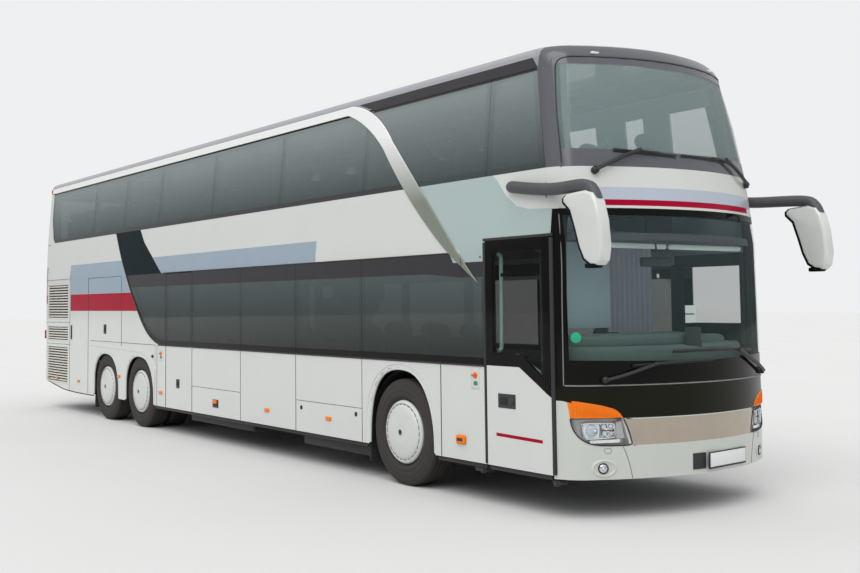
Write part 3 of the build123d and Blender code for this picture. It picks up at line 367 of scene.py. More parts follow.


# Each pane is its own tint at the foot and lighter at the head, where the sky's reflection is painted in.
upper_tint_painted_reflection = glass("upper_glass_tint_painted_reflection", (74, 84, 85), (156, 166, 167), 2.92, 3.82, 0.58)
lower_tint_painted_reflection = glass("lower_glass_tint_painted_reflection", (32, 40, 35), (92, 101, 103), 1.25, 2.1, 0.66)
door_tint_painted_reflection = glass("door_glass_tint_painted_reflection", (14, 20, 18), (22, 28, 22), 1.1, 2.3, 0.22)
screen_tint_painted_reflection = glass("windscreen_tint_painted_reflection", (70, 92, 84), (92, 108, 116), 1.1, 2.5, 0.13)
upper_screen_tint_painted_reflection = glass("upper_windscreen_tint_painted_reflection", (150, 170, 170), (164, 182, 182), 2.95, 3.85, 0.3)
frit = surface("printed_glass_border", (57, 55, 58), (52, 50, 54), 8, (0.06, 0.12), shine=0.25)
frit_black = surface("black_glass_border", (12, 13, 11), (17, 18, 15), 8, (0.05, 0.1), shine=0.1)
seal_black = surface("rubber_seal", (30, 30, 31), (40, 39, 40), 30, (0.5, 0.65), bump=0.1)
low_border = [
    area(1, (-8, 2.047), (0.5, 2.047), (1, 2.003), (2.4, 2.003), (2.4, 2.3), (-8, 2.3)),
    area(2, *rear_edge[2:], (2.4, 1.215), (2.4, 1.285), (-5.8, 1.285), (-6.13, 1.36), (-6.4, 1.52),
              (-6.7, 1.79), (-6.88, 1.975), (-7.085, 2.235)),
    area(3, (0.9, 2.14), (1.36, 2.14), (1.36, 2.3), (0.8, 2.3)),
    area(4, (1.52, 1.56), (2.12, 1.56), (2.15, 2.17), (1.52, 2.17)),
]
# The clearer panes also run lighter towards their head: painted reflection.
cab_clear_painted_reflection = glass("cab_window_tint_painted_reflection", (80, 92, 90), (110, 122, 122), 1.25, 2.1, 0.22)
side_panes = skin("lower_glass", [lower_tint_painted_reflection, frit, frit_black, mint, cab_clear_painted_reflection], low_border)
repaint_left(side_panes, 0.8, 3, 1)  # no mint corner on the left
repaint_left(side_panes, 1.35, 0, 2)  # black round the driver's pane
place_at(side_panes, "body", "side_glass", "lower_glass")
high_border = [
    area(1, (-10.8, 2.9), (0.1, 2.9), (0.06, 2.956), (-10.8, 2.956)),
    span(2, -11.2, -0.6, 3.79, 3.83),
    span(1, -0.6, 2.1, 3.77, 3.83),
]
front_clear_painted_reflection = glass("front_side_window_tint_painted_reflection", (92, 102, 102), (158, 168, 169), 2.92, 3.82, 0.3)
high_panes = skin("upper_glass", [upper_tint_painted_reflection, frit, frit_black, front_clear_painted_reflection], high_border)
repaint_left(high_panes, -0.69, 0, 3)  # clearer at the front left
place_at(high_panes, "body", "side_glass", "upper_glass")
screen_border = [
    (1, [(-1.4, 1.07), (1.4, 1.07), (1.4, 1.3), (0, 1.27), (-1.4, 1.3)]),
    stripe(1, 1.4, 2.49, 2.56),
    (1, [(-1.4, 1), (-1.205, 1), (-1.205, 2.6), (-1.4, 2.6)]),
    (1, [(1.205, 1), (1.4, 1), (1.4, 2.6), (1.205, 2.6)]),
]
painted("windscreen_lower", "screen_glass", [screen_tint_painted_reflection, frit_black], screen_border, 1)
high_screen_border = [
    (1, [(-1.4, 2.88), (1.4, 2.88), (1.4, 3.06), (0, 3.035), (-1.4, 3.06)]),
    stripe(1, 1.4, 3.81, 3.95),
]
painted("windscreen_upper", "screen_glass", [upper_screen_tint_painted_reflection, violet_frit], high_screen_border, 1)
painted("rear_window", "side_glass", [upper_tint_painted_reflection])

# ---- doors ----
# Painted plug doors with bonded glass over black frames; a crimson line runs low on the front
# one and each closes against thick rubber seals.
door_line = [area(2, (1.48, 0.614), (2.07, 0.602), (2.07, 0.631), (1.48, 0.643))]
front_frame = [area(1, (1.3, 1.225), (1.785, 1.225), (1.985, 1.105), (2.25, 0.985), (2.25, 2.4), (1.3, 2.4))]
painted(
    "front_door", "white_paint", [white, frame_black, crimson], front_frame + door_line, body="front_door",
)
front_pane = [
    span(1, 1.3, 2.25, 0.9, 2.4),
    area(0, (1.45, 1.33), (1.81, 1.33), (2, 1.20), (2.09, 1.13), (2.09, 2.22), (1.45, 2.22)),
]
painted("front_door_glass", "side_glass", [door_tint_painted_reflection, frit_black], front_pane, body="front_door")
middle_frame = [span(1, -5.7, -4.7, 1.225, 2.3)]
painted("middle_door", "white_paint", [white, frame_black], middle_frame, body="middle_door")
middle_pane = [span(1, -5.7, -4.7, 2.047, 2.3), span(2, -5.7, -4.7, 1.2, 1.285)]
painted("middle_door_glass", "side_glass", [lower_tint_painted_reflection, frit, frit_black], middle_pane, body="middle_door")


def at(x, y, z):
    """A place whose x is counted from the station."""
    return Matrix.Translation((station + x, y, z))


def stamp(bm, draw, place=Matrix(), index=0):
    """Draw a small shape by itself, then set it in its place in a mesh."""
    small = bmesh.new()
    draw(small)
    small.transform(place)
    bmesh.ops.recalc_face_normals(small, faces=small.faces)
    for face in small.faces:
        face.material_index = index
    mesh = bpy.data.meshes.new("stamp")
    small.to_mesh(mesh)
    small.free()
    bm.from_mesh(mesh)
    bpy.data.meshes.remove(mesh)


def round_off(small, edges, radius, segments):
    """Round the given edges of a small shape."""
    bmesh.ops.bevel(
        small, geom=edges, offset=radius, offset_type="OFFSET", segments=segments, profile=0.5,
        affect="EDGES", clamp_overlap=True, material=-1,
    )


def rounded(size, radius, segments=2):
    """A drawing of a block about the origin with rounded edges."""

    def draw(small):
        bmesh.ops.create_cube(small, size=1)
        bmesh.ops.scale(small, verts=small.verts, vec=size)
        round_off(small, small.edges, radius, segments)

    return draw


def block(bm, low, high, radius=0.004, index=0, segments=2):
    """A block with rounded edges between two corners, its x counted from the station."""
    size = [b - a for a, b in zip(low, high)]
    middle = [(a + b) / 2 for a, b in zip(low, high)]
    stamp(bm, rounded(size, radius, segments), at(*middle), index)


def both_sides(bm):
    """Add the mirror image of all that is drawn so far to the other side of the coach."""
    copies = bmesh.ops.duplicate(bm, geom=[*bm.verts, *bm.edges, *bm.faces])["geom"]
    verts = [g for g in copies if isinstance(g, bmesh.types.BMVert)]
    faces = [g for g in copies if isinstance(g, bmesh.types.BMFace)]
    bmesh.ops.scale(bm, verts=verts, vec=(1, -1, 1))
    bmesh.ops.reverse_faces(bm, faces=faces)


def pipe(bm, points, radius, index=0, closed=False, sides=2):
    """A round tube along a smooth line, its x counted from the station."""
    curve = bpy.data.curves.new("pipe", "CURVE")
    curve.dimensions = "3D"
    curve.bevel_depth = radius
    curve.bevel_resolution = sides
    curve.resolution_u = 4
    curve.use_fill_caps = True
    line = curve.splines.new("NURBS")
    line.points.add(len(points) - 1)
    for point, (x, y, z) in zip(line.points, points):
        point.co = (station + x, y, z, 1)
    line.order_u = 3
    line.use_cyclic_u = closed
    line.use_endpoint_u = not closed
    holder = bpy.data.objects.new("pipe", curve)
    mesh = bpy.data.meshes.new_from_object(holder)
    for polygon in mesh.polygons:
        polygon.material_index = index
    bm.from_mesh(mesh)
    bpy.data.objects.remove(holder)
    bpy.data.curves.remove(curve)
    bpy.data.meshes.remove(mesh)


def fitted(name, build, slot, *materials, body="body", degrees=40, replaced=()):
    """A rounded piece with crisp edges where it turns sharply, on its body."""

    def draw(bm):
        build(bm)
        bmesh.ops.remove_doubles(bm, verts=bm.verts, dist=1e-5)
        smooth(bm, degrees)

    return place_at(made(name, draw, *materials), body, slot, *replaced)


def door_seals(bm):
    for x0, x1 in ((1.325, 1.357), (2.183, 2.222)):
        block(bm, (x0, -1.279, 0.36), (x1, -1.255, 2.31), 0.008)
    block(bm, (1.325, -1.277, 2.318), (2.222, -1.253, 2.344), 0.008)
    for x in (-5.635, -4.768):
        block(bm, (x - 0.005, -1.277, 0.36), (x + 0.005, -1.25, 2.22), 0.003)


fitted("door_seals", door_seals, "black_plastic", seal_black)

# ---- wheels ----
# Road tyres with four ribbed grooves, and white wheel covers: a dished disc with a ring of narrow slots in
# painted shade near its rim and a dark hub cap in the middle.
tyre_black = surface("tyre_rubber", (44, 40, 38), (56, 51, 48), 26, (0.75, 0.9), bump=0.25)
cover_white = surface("wheel_cover_paint", (205, 207, 203), (196, 198, 194), 5, (0.25, 0.35), coat=0.3)
hub_grey = surface("hub_cap", (46, 45, 44), (60, 58, 56), 30, (0.35, 0.5), 0.3)
outer_face, tyre_width, tyre_radius, rim_radius, twin_step = 1.255, 0.295, 0.518, 0.308, 0.33
slots, slot_ring = 26, 0.2695


def turned(profile, steps=96):
    """A drawing of (radius, y) points turned once round the y axis."""

    def draw(small):
        verts = [small.verts.new((r, y, 0)) for r, y in profile]
        edges = [small.edges.new(pair) for pair in zip(verts, verts[1:])]
        bmesh.ops.spin(
            small, geom=[*verts, *edges], cent=(0, 0, 0), axis=(0, 1, 0), angle=2 * math.pi, steps=steps,
            use_merge=True,
        )
        bmesh.ops.remove_doubles(small, verts=small.verts, dist=1e-5)

    return draw


def tyre_profile():
    """A tyre's outline from bead to bead: two side walls and a tread with four grooves."""
    half = [
        (rim_radius + 0.002, -0.035), (rim_radius + 0.022, -0.026), (rim_radius + 0.034, -0.008),
        (rim_radius + 0.055, -0.001), (0.378, 0), (0.386, -0.004), (0.394, 0), (0.44, -0.001),
        (0.447, -0.005), (0.454, -0.002), (0.47, -0.005), (0.476, -0.011), (0.49, -0.014), (0.505, -0.022),
        (tyre_radius - 0.003, -0.034),
    ]
    rows = [(r, tyre_width / 2 + y) for r, y in half]
    for middle in (0.075, 0.026):
        rows += [
            (tyre_radius, middle + 0.007), (tyre_radius - 0.011, middle + 0.004),
            (tyre_radius - 0.011, middle - 0.004), (tyre_radius, middle - 0.007),
        ]
    return rows + [(r, -y) for r, y in reversed(rows)]


cover_profile = [
    (0, 0.032), (0.03, 0.032), (0.036, 0.027), (0.05, 0.026), (0.07, 0.03), (0.12, 0.028), (0.2, 0.019),
    (0.245, 0.01), (0.258, 0.004), (0.262, -0.002), (0.277, -0.003), (0.281, 0.001), (0.292, -0.003),
    (0.303, -0.012), (0.309, -0.026), (0.302, -0.04), (0.284, -0.09),
]


def wheel_covers(bm, x, inner):
    """A dished cover with its hub cap and a ring of slots, for a wheel on the right."""
    stamp(
        bm, turned([(r, -outer_face - y) for r, y in cover_profile] + [(0.286, -inner)]),
        Matrix.Translation((x, 0, tyre_radius)),
    )
    stamp(
        bm, turned([(0, 0.0115), (0.024, 0.0105), (0.028, 0.0095), (0.029, 0.002)], 32),
        Matrix.Translation((x, -outer_face - 0.023, tyre_radius)) @ Matrix.Scale(-1, 4, (0, 1, 0)), 1,
    )
    for n in range(slots):
        turn = Matrix.Rotation(2 * math.pi * n / slots, 4, "Y")
        place = Matrix.Translation((x, -outer_face + 0.002, tyre_radius)) @ turn
        # each slot is a small block in painted shade
        slot = rounded((0.006, 0.005, 0.046), 0.0015, 1)
        stamp(bm, slot, place @ Matrix.Translation((slot_ring, 0, 0)), 2)


for name, node, steps_in in (
    ("front", "front_wheel", (0,)), ("drive", "drive_wheels", (0, 1)), ("tag", "tag_wheel", (0,)),
):
    for side, way in (("right", 1), ("left", -1)):
        x = sum(c.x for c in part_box(f"{name}_tyre_{side}")) / 2
        flip = Matrix.Scale(way, 4, (0, 1, 0))

        def tyres(bm):
            for step in steps_in:
                middle = outer_face - tyre_width / 2 - step * twin_step
                stamp(bm, turned(tyre_profile()), flip @ Matrix.Translation((x, -middle, tyre_radius)))

        def covers(bm):
            wheel_covers(bm, x, outer_face - tyre_width + 0.035 - steps_in[-1] * twin_step)
            bm.transform(flip)
            if way < 0:
                bmesh.ops.reverse_faces(bm, faces=bm.faces)

        wheel = f"{node}_{side}"
        fitted(
            f"{name}_tyres_{side}", tyres, "tyre_rubber", tyre_black, degrees=50,
            replaced=[f"{name}_tyre_{side}"], body=wheel,
        )
        fitted(
            f"{name}_cover_{side}", covers, "wheel_paint", cover_white, hub_grey, slot_shade, degrees=50,
            replaced=[f"{name}_rim_{side}"], body=wheel,
        )

# ---- wheel arches ----
# Each arch has a rolled white lip and a black moulded liner over the tyre; rubber flaps hang
# behind the front and tag wheels.
plastic = surface("black_plastic", (34, 33, 33), (44, 42, 42), 40, (0.5, 0.65), bump=0.15)
front_arch = (
    (-0.563, 0.37), (-0.56, 0.468), (-0.553, 0.608), (-0.515, 0.808), (-0.435, 0.968), (-0.325, 1.073),
    (-0.19, 1.13), (-0.04, 1.146), (0.105, 1.136), (0.22, 1.106), (0.325, 1.043), (0.41, 0.948),
    (0.478, 0.83), (0.525, 0.688), (0.55, 0.538), (0.552, 0.37),
)
rear_arch = (
    (-0.548, 0.37), (-0.545, 0.608), (-0.532, 0.728), (-0.478, 0.848), (-0.385, 0.953), (-0.235, 1.025),
    (-0.06, 1.048), (0.12, 1.038), (0.27, 0.996), (0.385, 0.91), (0.47, 0.808), (0.53, 0.638),
    (0.545, 0.538), (0.549, 0.37),
)
arches = zip(axle_places, (front_arch, rear_arch, rear_arch), (0.61, 0.553, 0.553), (0.5, 0.62, 0.72))
axles = list(arches)
quarter_turn = Matrix.Rotation(math.pi / 2, 4, "X")


def lips(bm):
    for x, arch, _, _ in axles:
        pipe(bm, [(x + dx * 0.985, -1.266, z if z < 0.4 else z - 0.01) for dx, z in arch], 0.014)
    both_sides(bm)


def liners(bm):
    for x, _, radius, inner in axles:

        def draw(small):
            verts = [small.verts.new((radius, 0, y)) for y in (1.21, inner + 0.02, inner)]
            verts.append(small.verts.new((radius - 0.04, 0, inner)))
            edges = [small.edges.new(pair) for pair in zip(verts, verts[1:])]
            bmesh.ops.spin(
                small, geom=[*verts, *edges], cent=(0, 0, 0), axis=(0, 0, 1), angle=math.pi * 1.02,
                steps=28,
            )
            bmesh.ops.recalc_face_normals(small, faces=small.faces)
            bmesh.ops.solidify(small, geom=small.faces, thickness=0.004)

        stamp(bm, draw, at(x, 0, tyre_radius - 0.01) @ quarter_turn)
    both_sides(bm)


def mud_flaps(bm):
    for x, low in ((-0.56, 0.17), (-8.52, 0.15)):
        block(bm, (x - 0.008, -1.235, low), (x + 0.008, -0.96, 0.42), 0.006)
    both_sides(bm)


fitted("arch_lips", lips, "white_paint", white)
fitted("arch_liners", liners, "black_plastic", plastic)
fitted("mud_flaps", mud_flaps, "black_plastic", plastic)

# ---- louvres ----
# Air intakes of the engine bay: pale slats tilted over a plate in painted shade standing for the openings,
# each in a painted rim.
louvre_paint = surface("louvre_paint", (212, 210, 202), (202, 200, 192), 8, (0.35, 0.45))


def louvres(bm):
    x0, x1 = -10.846, -9.764
    for z0, z1, count in ((1.556, 2.145, 12), (1.176, 1.424, 5), (0.462, 1.074, 13)):
        # the plate behind the slats is painted shade
        block(bm, (x0, -1.24, z0), (x1, -1.228, z1), 0.003, 1)
        for z in (z0, z1):
            block(bm, (x0 + 0.02, -1.273, z - 0.006), (x1, -1.24, z + 0.02 if z == z0 else z + 0.006), 0.004)
        for x in (x0, x1):
            block(bm, (x - 0.004, -1.273, z0), (x + 0.022, -1.24, z1), 0.004)
        for n in range(count):
            z = z0 + 0.024 + (n + 0.5) * (z1 - z0 - 0.03) / count
            back = x0 + 0.02 + max(0, 0.53 - z) * 2.4
            tilt = Matrix.Rotation(math.radians(38), 4, "X")
            slat = rounded((x1 - back - 0.01, 0.03, 0.016), 0.005, 1)
            stamp(bm, slat, at((back + x1) / 2, -1.255, z) @ tilt)
    both_sides(bm)


fitted("louvres", louvres, "black_plastic", louvre_paint, slot_shade, replaced=["side_grilles"])

# ---- silver sweep ----
# Brushed metal moulding over the rear windows that dives across the belt; a dark joint marks its
# separate lower tip, a red lamp closes its rear end and black seals run under the roof's edge.
# The metal runs from grey-green low down to near white high up: a painted reflection and highlight.
brushed_painted_highlight = glass("brushed_metal_painted_highlight", (132, 138, 126), (248, 248, 247), 2.75, 3.5, 1)
tune(brushed_painted_highlight.node_tree.nodes["Principled BSDF"], Metallic=0.35)
for node in brushed_painted_highlight.node_tree.nodes:
    if node.type == "MAP_RANGE" and node.inputs["To Max"].default_value < 0.1:
        tune(node, To_Min=0.2, To_Max=0.34)
sweep = skin("silver_sweeps", [brushed_painted_highlight])
crown = sweep.modifiers.new("crown", "BEVEL")
crown.width = 0.009
crown.segments = 3
crown.limit_method = "ANGLE"
crown.angle_limit = math.radians(50)
place_at(sweep, "body", "polished_trim", "silver_sweeps")
wall_y, lean_from, lean_in = -1.275, 2.3, math.radians(5.5)


def side_y(z):
    """Where the side wall stands at a height: upright below, leaning in above."""
    return wall_y + max(0, z - lean_from) * math.tan(lean_in)


def sweep_joint(bm):
    pipe(
        bm,
        [(1.022, side_y(2.18) - 0.013, 2.182), (1.032, side_y(2.1) - 0.013, 2.11), (1.04, -1.287, 2.048)],
        0.003,
    )
    both_sides(bm)


def roof_seams(bm):
    for x0, x1, z in ((-11.04, -1, 3.806), (-0.6, 1.9, 3.797)):
        pipe(
            bm,
            [(x0, side_y(z) - 0.004, z), ((x0 + x1) / 2, side_y(z) - 0.004, z), (x1, side_y(z) - 0.004, z)],
            0.006,
        )
    both_sides(bm)


def end_lamps(bm):
    block(bm, (-11.13, side_y(3.86) - 0.012, 3.822), (-11.09, side_y(3.86) + 0.02, 3.894), 0.008, 0, 3)
    both_sides(bm)


red_lens = surface("red_lens", (190, 20, 24), (165, 14, 18), 40, (0.1, 0.18), coat=0.8)
fitted("sweep_joint", sweep_joint, "black_plastic", seal_black)
fitted("roof_seams", roof_seams, "black_plastic", seal_black)
fitted("strip_end_lamps", end_lamps, "red_lens", red_lens)

# ---- lamps in the nose ----
# Each headlamp is a clear cover over a chromed tray with a projector and two bowls; above it
# lies a ribbed amber indicator, and a round fog lamp sits low in the bumper.
lens_clear = surface("lamp_cover", (225, 230, 232), (215, 222, 226), 12, (0.02, 0.05), alpha=0.08)
chrome = surface("lamp_reflector", (225, 226, 228), (188, 191, 196), 14, (0.05, 0.14), 1)
tray_grey = surface("lamp_surround", (176, 176, 174), (162, 162, 160), 20, (0.25, 0.35), 0.4)
amber = surface("amber_lens", (240, 122, 4), (228, 112, 2), 18, (0.15, 0.25), shine=0.25)
line_grey = surface("panel_line", (70, 74, 72), (58, 62, 60), 20, (0.5, 0.6))


def cast_tree(*names):
    """A search tree over CAD nodes, to set small parts down on their surface."""
    verts, faces = [], []
    for name in names:
        mesh = NODES[name].data
        faces += [[len(verts) + i for i in p.vertices] for p in mesh.polygons]
        verts += [v.co.copy() for v in mesh.vertices]
    return BVHTree.FromPolygons(verts, faces)


nose_tree = cast_tree(
    "front_bumper", "front_panel", "nose_trim", "headlamps", "indicators", "nose_frame", "windscreen_lower",
    "windscreen_upper", "roof",
)


def on_nose(y, z, out=0, tree=nose_tree, start=4):
    """The place on the nose at a height and distance from the middle, moved outwards."""
    way = Vector((-math.copysign(1, start), 0, 0))
    spot, normal, _, _ = tree.ray_cast(Vector((station + start, y, z)), way)
    return spot + normal * out, normal


def nose_line(bm, points, radius, out=0, index=0, **more):
    """A thin bead over the nose through (y, z) points."""
    spots = [on_nose(y, z, out)[0] for y, z in points]
    pipe(bm, [(p.x - station, p.y, p.z) for p in spots], radius, index, **more)


def level_line(bm, z, reach, radius, out=0, index=0):
    """A bead across the nose at one height, its places given from the middle outwards."""
    places = [-y for y in reach[:0:-1]] + list(reach)
    nose_line(bm, [(y, z) for y in places], radius, out, index)


def facing(y, z, out=0, *where):
    """A turn and place that make a shape's own z axis point straight out of the nose."""
    spot, normal = on_nose(y, z, out, *where)
    return Matrix.Translation(spot) @ normal.to_track_quat("Z", "Y").to_matrix().to_4x4()


def bowl(radius, depth, dome=0):
    """A drawing of a round bowl with a rolled rim, open towards +z."""
    rows = [
        (0, -depth), (0.5, -depth * 0.75), (0.85, -depth * 0.3), (1, 0), (1.08, 0.002), (1.12, -0.006),
        (1.12, -depth),
    ]
    if dome:
        rows = [
            (0, dome), (0.45, dome * 0.85), (0.8, dome * 0.45), (1, 0), (1.1, 0.004), (1.16, -0.004),
            (1.16, -depth),
        ]

    def draw(small):
        turned([(radius * r, y) for r, y in rows], 40)(small)
        small.transform(quarter_turn)

    return draw


lamp_side = [
    (-1.223, 0.972), (-1.208, 0.818), (-1.202, 0.767), (-1.188, 0.721), (-1.166, 0.68), (-1.136, 0.65),
    (-1.106, 0.63), (-1.072, 0.617), (-1.034, 0.609), (-0.97, 0.604), (-0.915, 0.602),
]
lamp_inner = [(-0.748, 0.602), (-0.755, 0.637), (-0.774, 0.707), (-0.797, 0.769), (-0.823, 0.821)]
amber_top = [
    (-0.827, 0.824), (-0.853, 0.863), (-0.882, 0.888), (-0.912, 0.903), (-0.958, 0.918), (-1.009, 0.932),
    (-1.086, 0.947), (-1.163, 0.962), (-1.223, 0.972),
]
beyond = [(-1.4, 1), (-1.226, 1), *lamp_side[:9], (-1, 0.603), (-1, 0.56), (-1.4, 0.56)]
paint_side = [(index, [(y * way, z) for y, z in beyond]) for index, way in ((2, 1), (2, -1))]


def headlamp_cover(bm):
    joined("headlamps", bm)
    for face in bm.faces:
        outward = face.normal.x + face.normal.y * math.copysign(1, face.calc_center_median().y)
        face.material_index = 0 if outward > 0.3 and abs(face.normal.z) < 0.7 else 1
    paint_fields(bm, paint_side, 1)
    smooth(bm, 30)


strip_wide = 0.02  # a patch is cut into strips, to bend over the nose


def patch(bm, outline, out, thick, index=0):
    """A thin plate laid over the nose inside an outline of (y, z) points."""

    def draw(small):
        small.faces.new([small.verts.new((0, y, z)) for y, z in outline])
        low, high = min(p[0] for p in outline), max(p[0] for p in outline)
        steps = int((high - low) / strip_wide)
        for n in range(1, steps):
            geom = [*small.verts, *small.edges, *small.faces]
            bmesh.ops.bisect_plane(
                small, geom=geom, dist=1e-5, plane_no=(0, 1, 0),
                plane_co=(0, low + (high - low) * n / steps, 0),
            )
        for vert in small.verts:
            near = (on_nose(vert.co.y, vert.co.z + dz, out)[0] for dz in (0, 0.006, -0.006))
            vert.co.x = max(spot.x for spot in near)
        bmesh.ops.recalc_face_normals(small, faces=small.faces)
        if sum(f.normal.x for f in small.faces) < 0:
            bmesh.ops.reverse_faces(small, faces=small.faces)
        bmesh.ops.solidify(small, geom=small.faces, thickness=thick)

    stamp(bm, draw, index=index)


def lamp_bowls(bm):
    box = [
        (-1.122, 0.786), (-0.905, 0.782), (-0.893, 0.77), (-0.89, 0.68), (-0.9, 0.667), (-1.1, 0.655),
        (-1.118, 0.665), (-1.136, 0.715), (-1.134, 0.775),
    ]
    nose_line(bm, box, 0.007, -0.012, 0, closed=True)
    patch(bm, [(-1.118, 0.665), (-1, 0.66), (-1, 0.784), (-1.134, 0.782)], -0.026, 0.004, 2)
    patch(bm, [(-1, 0.66), (-0.895, 0.668), (-0.895, 0.78), (-1, 0.784)], -0.03, 0.004, 0)
    stamp(bm, bowl(0.046, 0.02, 0.016), facing(-1.066, 0.722, -0.02), 1)
    stamp(bm, bowl(0.014, 0.02, 0.01), facing(-1.04, 0.72, -0.008), 0)
    for y, z, size in (
        (-0.972, 0.752, 0.026), (-0.918, 0.755, 0.02), (-0.965, 0.698, 0.024), (-0.915, 0.7, 0.018),
    ):
        stamp(bm, bowl(size, 0.02), facing(y, z, -0.014), 0)
    # thin lines in painted shade between the bowls
    for line in (
        [(-1, 0.725), (-0.96, 0.728), (-0.9, 0.722)], [(-0.895, 0.775), (-0.893, 0.72), (-0.898, 0.675)],
        [(-1, 0.772), (-0.99, 0.72), (-1, 0.672)],
    ):
        nose_line(bm, line, 0.0035, -0.01, 3)
    patch(bm, [(-1.075, 0.622), (-0.85, 0.627), (-0.842, 0.653), (-1.08, 0.646)], -0.012, 0.004, 2)
    patch(bm, [(-0.87, 0.66), (-0.8, 0.66), (-0.83, 0.8), (-0.875, 0.79)], -0.02, 0.004, 4)
    both_sides(bm)


def amber_lens_parts(bm):
    joined("indicators", bm)
    paint_fields(bm, paint_side, 1)
    top = amber_top[:-1] + [(-1.2, 0.967)]
    foot = [(-1.2, 0.9), (-1.1, 0.885), (-1, 0.865), (-0.9, 0.84), (-0.84, 0.826)]
    for way in (1, -1):
        patch(bm, [(y * way, z) for y, z in top + foot], 0.004, 0.004)


ribs, first_rib, rib_step = 16, -1.195, 0.0225


def amber_ribs(bm):
    for n in range(ribs):
        y = first_rib + n * rib_step
        (y0, z0), (y1, z1) = next(
            pair for pair in zip(amber_top, amber_top[1:]) if pair[1][0] <= y <= pair[0][0]
        )
        high = z0 + (z1 - z0) * (y - y0) / (y1 - y0)
        if high > 0.86:
            nose_line(bm, [(y, 0.834), (y, (0.834 + high) / 2), (y, high - 0.012)], 0.0032, 0.0045, sides=1)
    both_sides(bm)


def lamp_edges(bm):
    nose_line(bm, lamp_side[1:] + lamp_inner, 0.005, 0.001)
    nose_line(bm, [(-1.208, 0.82), (-1.05, 0.823), (-0.835, 0.823)], 0.004, 0.003)
    nose_line(
        bm, [(-0.827, 0.593), (-0.805, 0.546), (-0.782, 0.476), (-0.762, 0.405), (-0.75, 0.335)], 0.0026, 0,
        1,
    )
    both_sides(bm)
    nose_line(bm, [(-0.8, 0.818), (-0.4, 0.819), (0, 0.82), (0.4, 0.819), (0.8, 0.818)], 0.004, 0.001)
    level_line(bm, 0.599, (0, 0.4, 0.74), 0.003)


def fog_lamps(bm):
    place = facing(-0.985, 0.42, 0)
    stamp(bm, bowl(0.036, 0.02, 0.012), place @ Matrix.Translation((0, 0, 0.002)), 0)
    stamp(bm, bowl(0.012, 0.01, 0.006), place @ Matrix.Translation((0, 0, 0.011)), 0)
    # a groove in painted shade round the lamp
    groove = turned([(0.036, 0), (0.038, 0.008), (0.043, 0.008), (0.045, 0)], 48)
    stamp(bm, groove, place @ quarter_turn, 2)
    rim = turned([(0.044, 0.0015), (0.056, 0.003), (0.061, 0.009), (0.066, 0.008), (0.074, 0)], 64)
    oval = Matrix.Scale(1.5, 4, (1, 0, 0))
    stamp(bm, rim, place @ Matrix.Translation((0.008, 0, 0)) @ oval @ quarter_turn, 1)
    both_sides(bm)


covers = made("headlamp_covers", headlamp_cover, lens_clear, tray_grey, bumper_white)
place_at(covers, "body", "lamp_glass", "headlamps")
reflector_blue = surface("projector_glass", (176, 190, 202), (164, 178, 190), 16, (0.05, 0.12))
lamp_white = surface("lamp_reflector_bright", (228, 230, 230), (214, 216, 217), 16, (0.1, 0.2), 0.3)
fitted("lamp_bowls", lamp_bowls, "lamp_glass", chrome, reflector_blue, lamp_white, slot_shade, tray_grey)
fitted(
    "indicator_lenses", amber_lens_parts, "amber_lens", amber, amber, bumper_white, degrees=30,
    replaced=["indicators"],
)
fitted("indicator_ribs", amber_ribs, "amber_lens", amber)
fitted("lamp_edges", lamp_edges, "black_plastic", seal_black, line_grey)
fitted("fog_lamps", fog_lamps, "lamp_glass", chrome, bumper_white, slot_shade)

# ---- nose fittings ----
# A blank number plate in a black holder, the square lid over the towing eye, two small flaps,
# and rubber beads round both windscreens, glued into the joint.
plate_white = surface("blank_plate", (226, 227, 226), (216, 217, 217), 30, (0.3, 0.4), coat=0.3)


def front_plate(bm):
    place = facing(0.285, 0.431, 0.008)
    stamp(bm, rounded((0.59, 0.14, 0.012), 0.004), place, 1)
    stamp(bm, rounded((0.565, 0.115, 0.006), 0.002), place @ Matrix.Translation((0, 0.004, 0.007)), 0)
    stamp(bm, rounded((0.15, 0.135, 0.01), 0.006), facing(-0.085, 0.434, 0.003), 1)
    for side in (-1, 1):
        flap = [(-0.984, 0.582), (-0.92, 0.584), (-0.921, 0.541), (-0.972, 0.538)]
        nose_line(bm, [(-side * y, z) for y, z in flap], 0.0016, 0, 2, closed=True)


def screen_bead(bm):
    level_line(bm, 1.089, (0, 0.3, 0.6, 0.9, 1, 1.1, 1.17, 1.21, 1.228), 0.006, 0.004)
    level_line(bm, 2.546, (0, 0.6, 1.21), 0.008, 0, 1)
    level_line(bm, 2.903, (0, 0.6, 1.17), 0.006, 0.003, 1)
    post = ((1.233, 1.089), (1.23, 1.5), (1.228, 1.8), (1.222, 2.2), (1.216, 2.5))
    high_post = (
        (1.16, 2.93), (1.14, 3.2), (1.11, 3.5), (1.08, 3.7), (1.064, 3.8), (1.03, 3.862), (0.96, 3.872),
    )
    for side in (-1, 1):
        nose_line(bm, [(side * y, z) for y, z in post], 0.005, 0.002)
        nose_line(bm, [(side * y, z) for y, z in high_post], 0.005, 0.004, 1)
    level_line(bm, 3.874, (0, 0.2, 0.4, 0.6, 0.8, 0.96), 0.005, 0.004, 1)


bead_grey = surface("light_rubber", (128, 128, 124), (112, 112, 110), 20, (0.4, 0.5))
fitted("front_plate", front_plate, "white_paint", plate_white, seal_black, line_grey)
fitted("screen_beads", screen_bead, "black_plastic", bead_grey, seal_black)

# ---- wipers ----
# Two pairs of black wipers, parked along the foot of each windscreen: a round pivot, a tapered
# arm and a slim blade carrier with its rubber.
wiper_black = surface("wiper_black", (26, 26, 27), (34, 34, 35), 30, (0.4, 0.5))


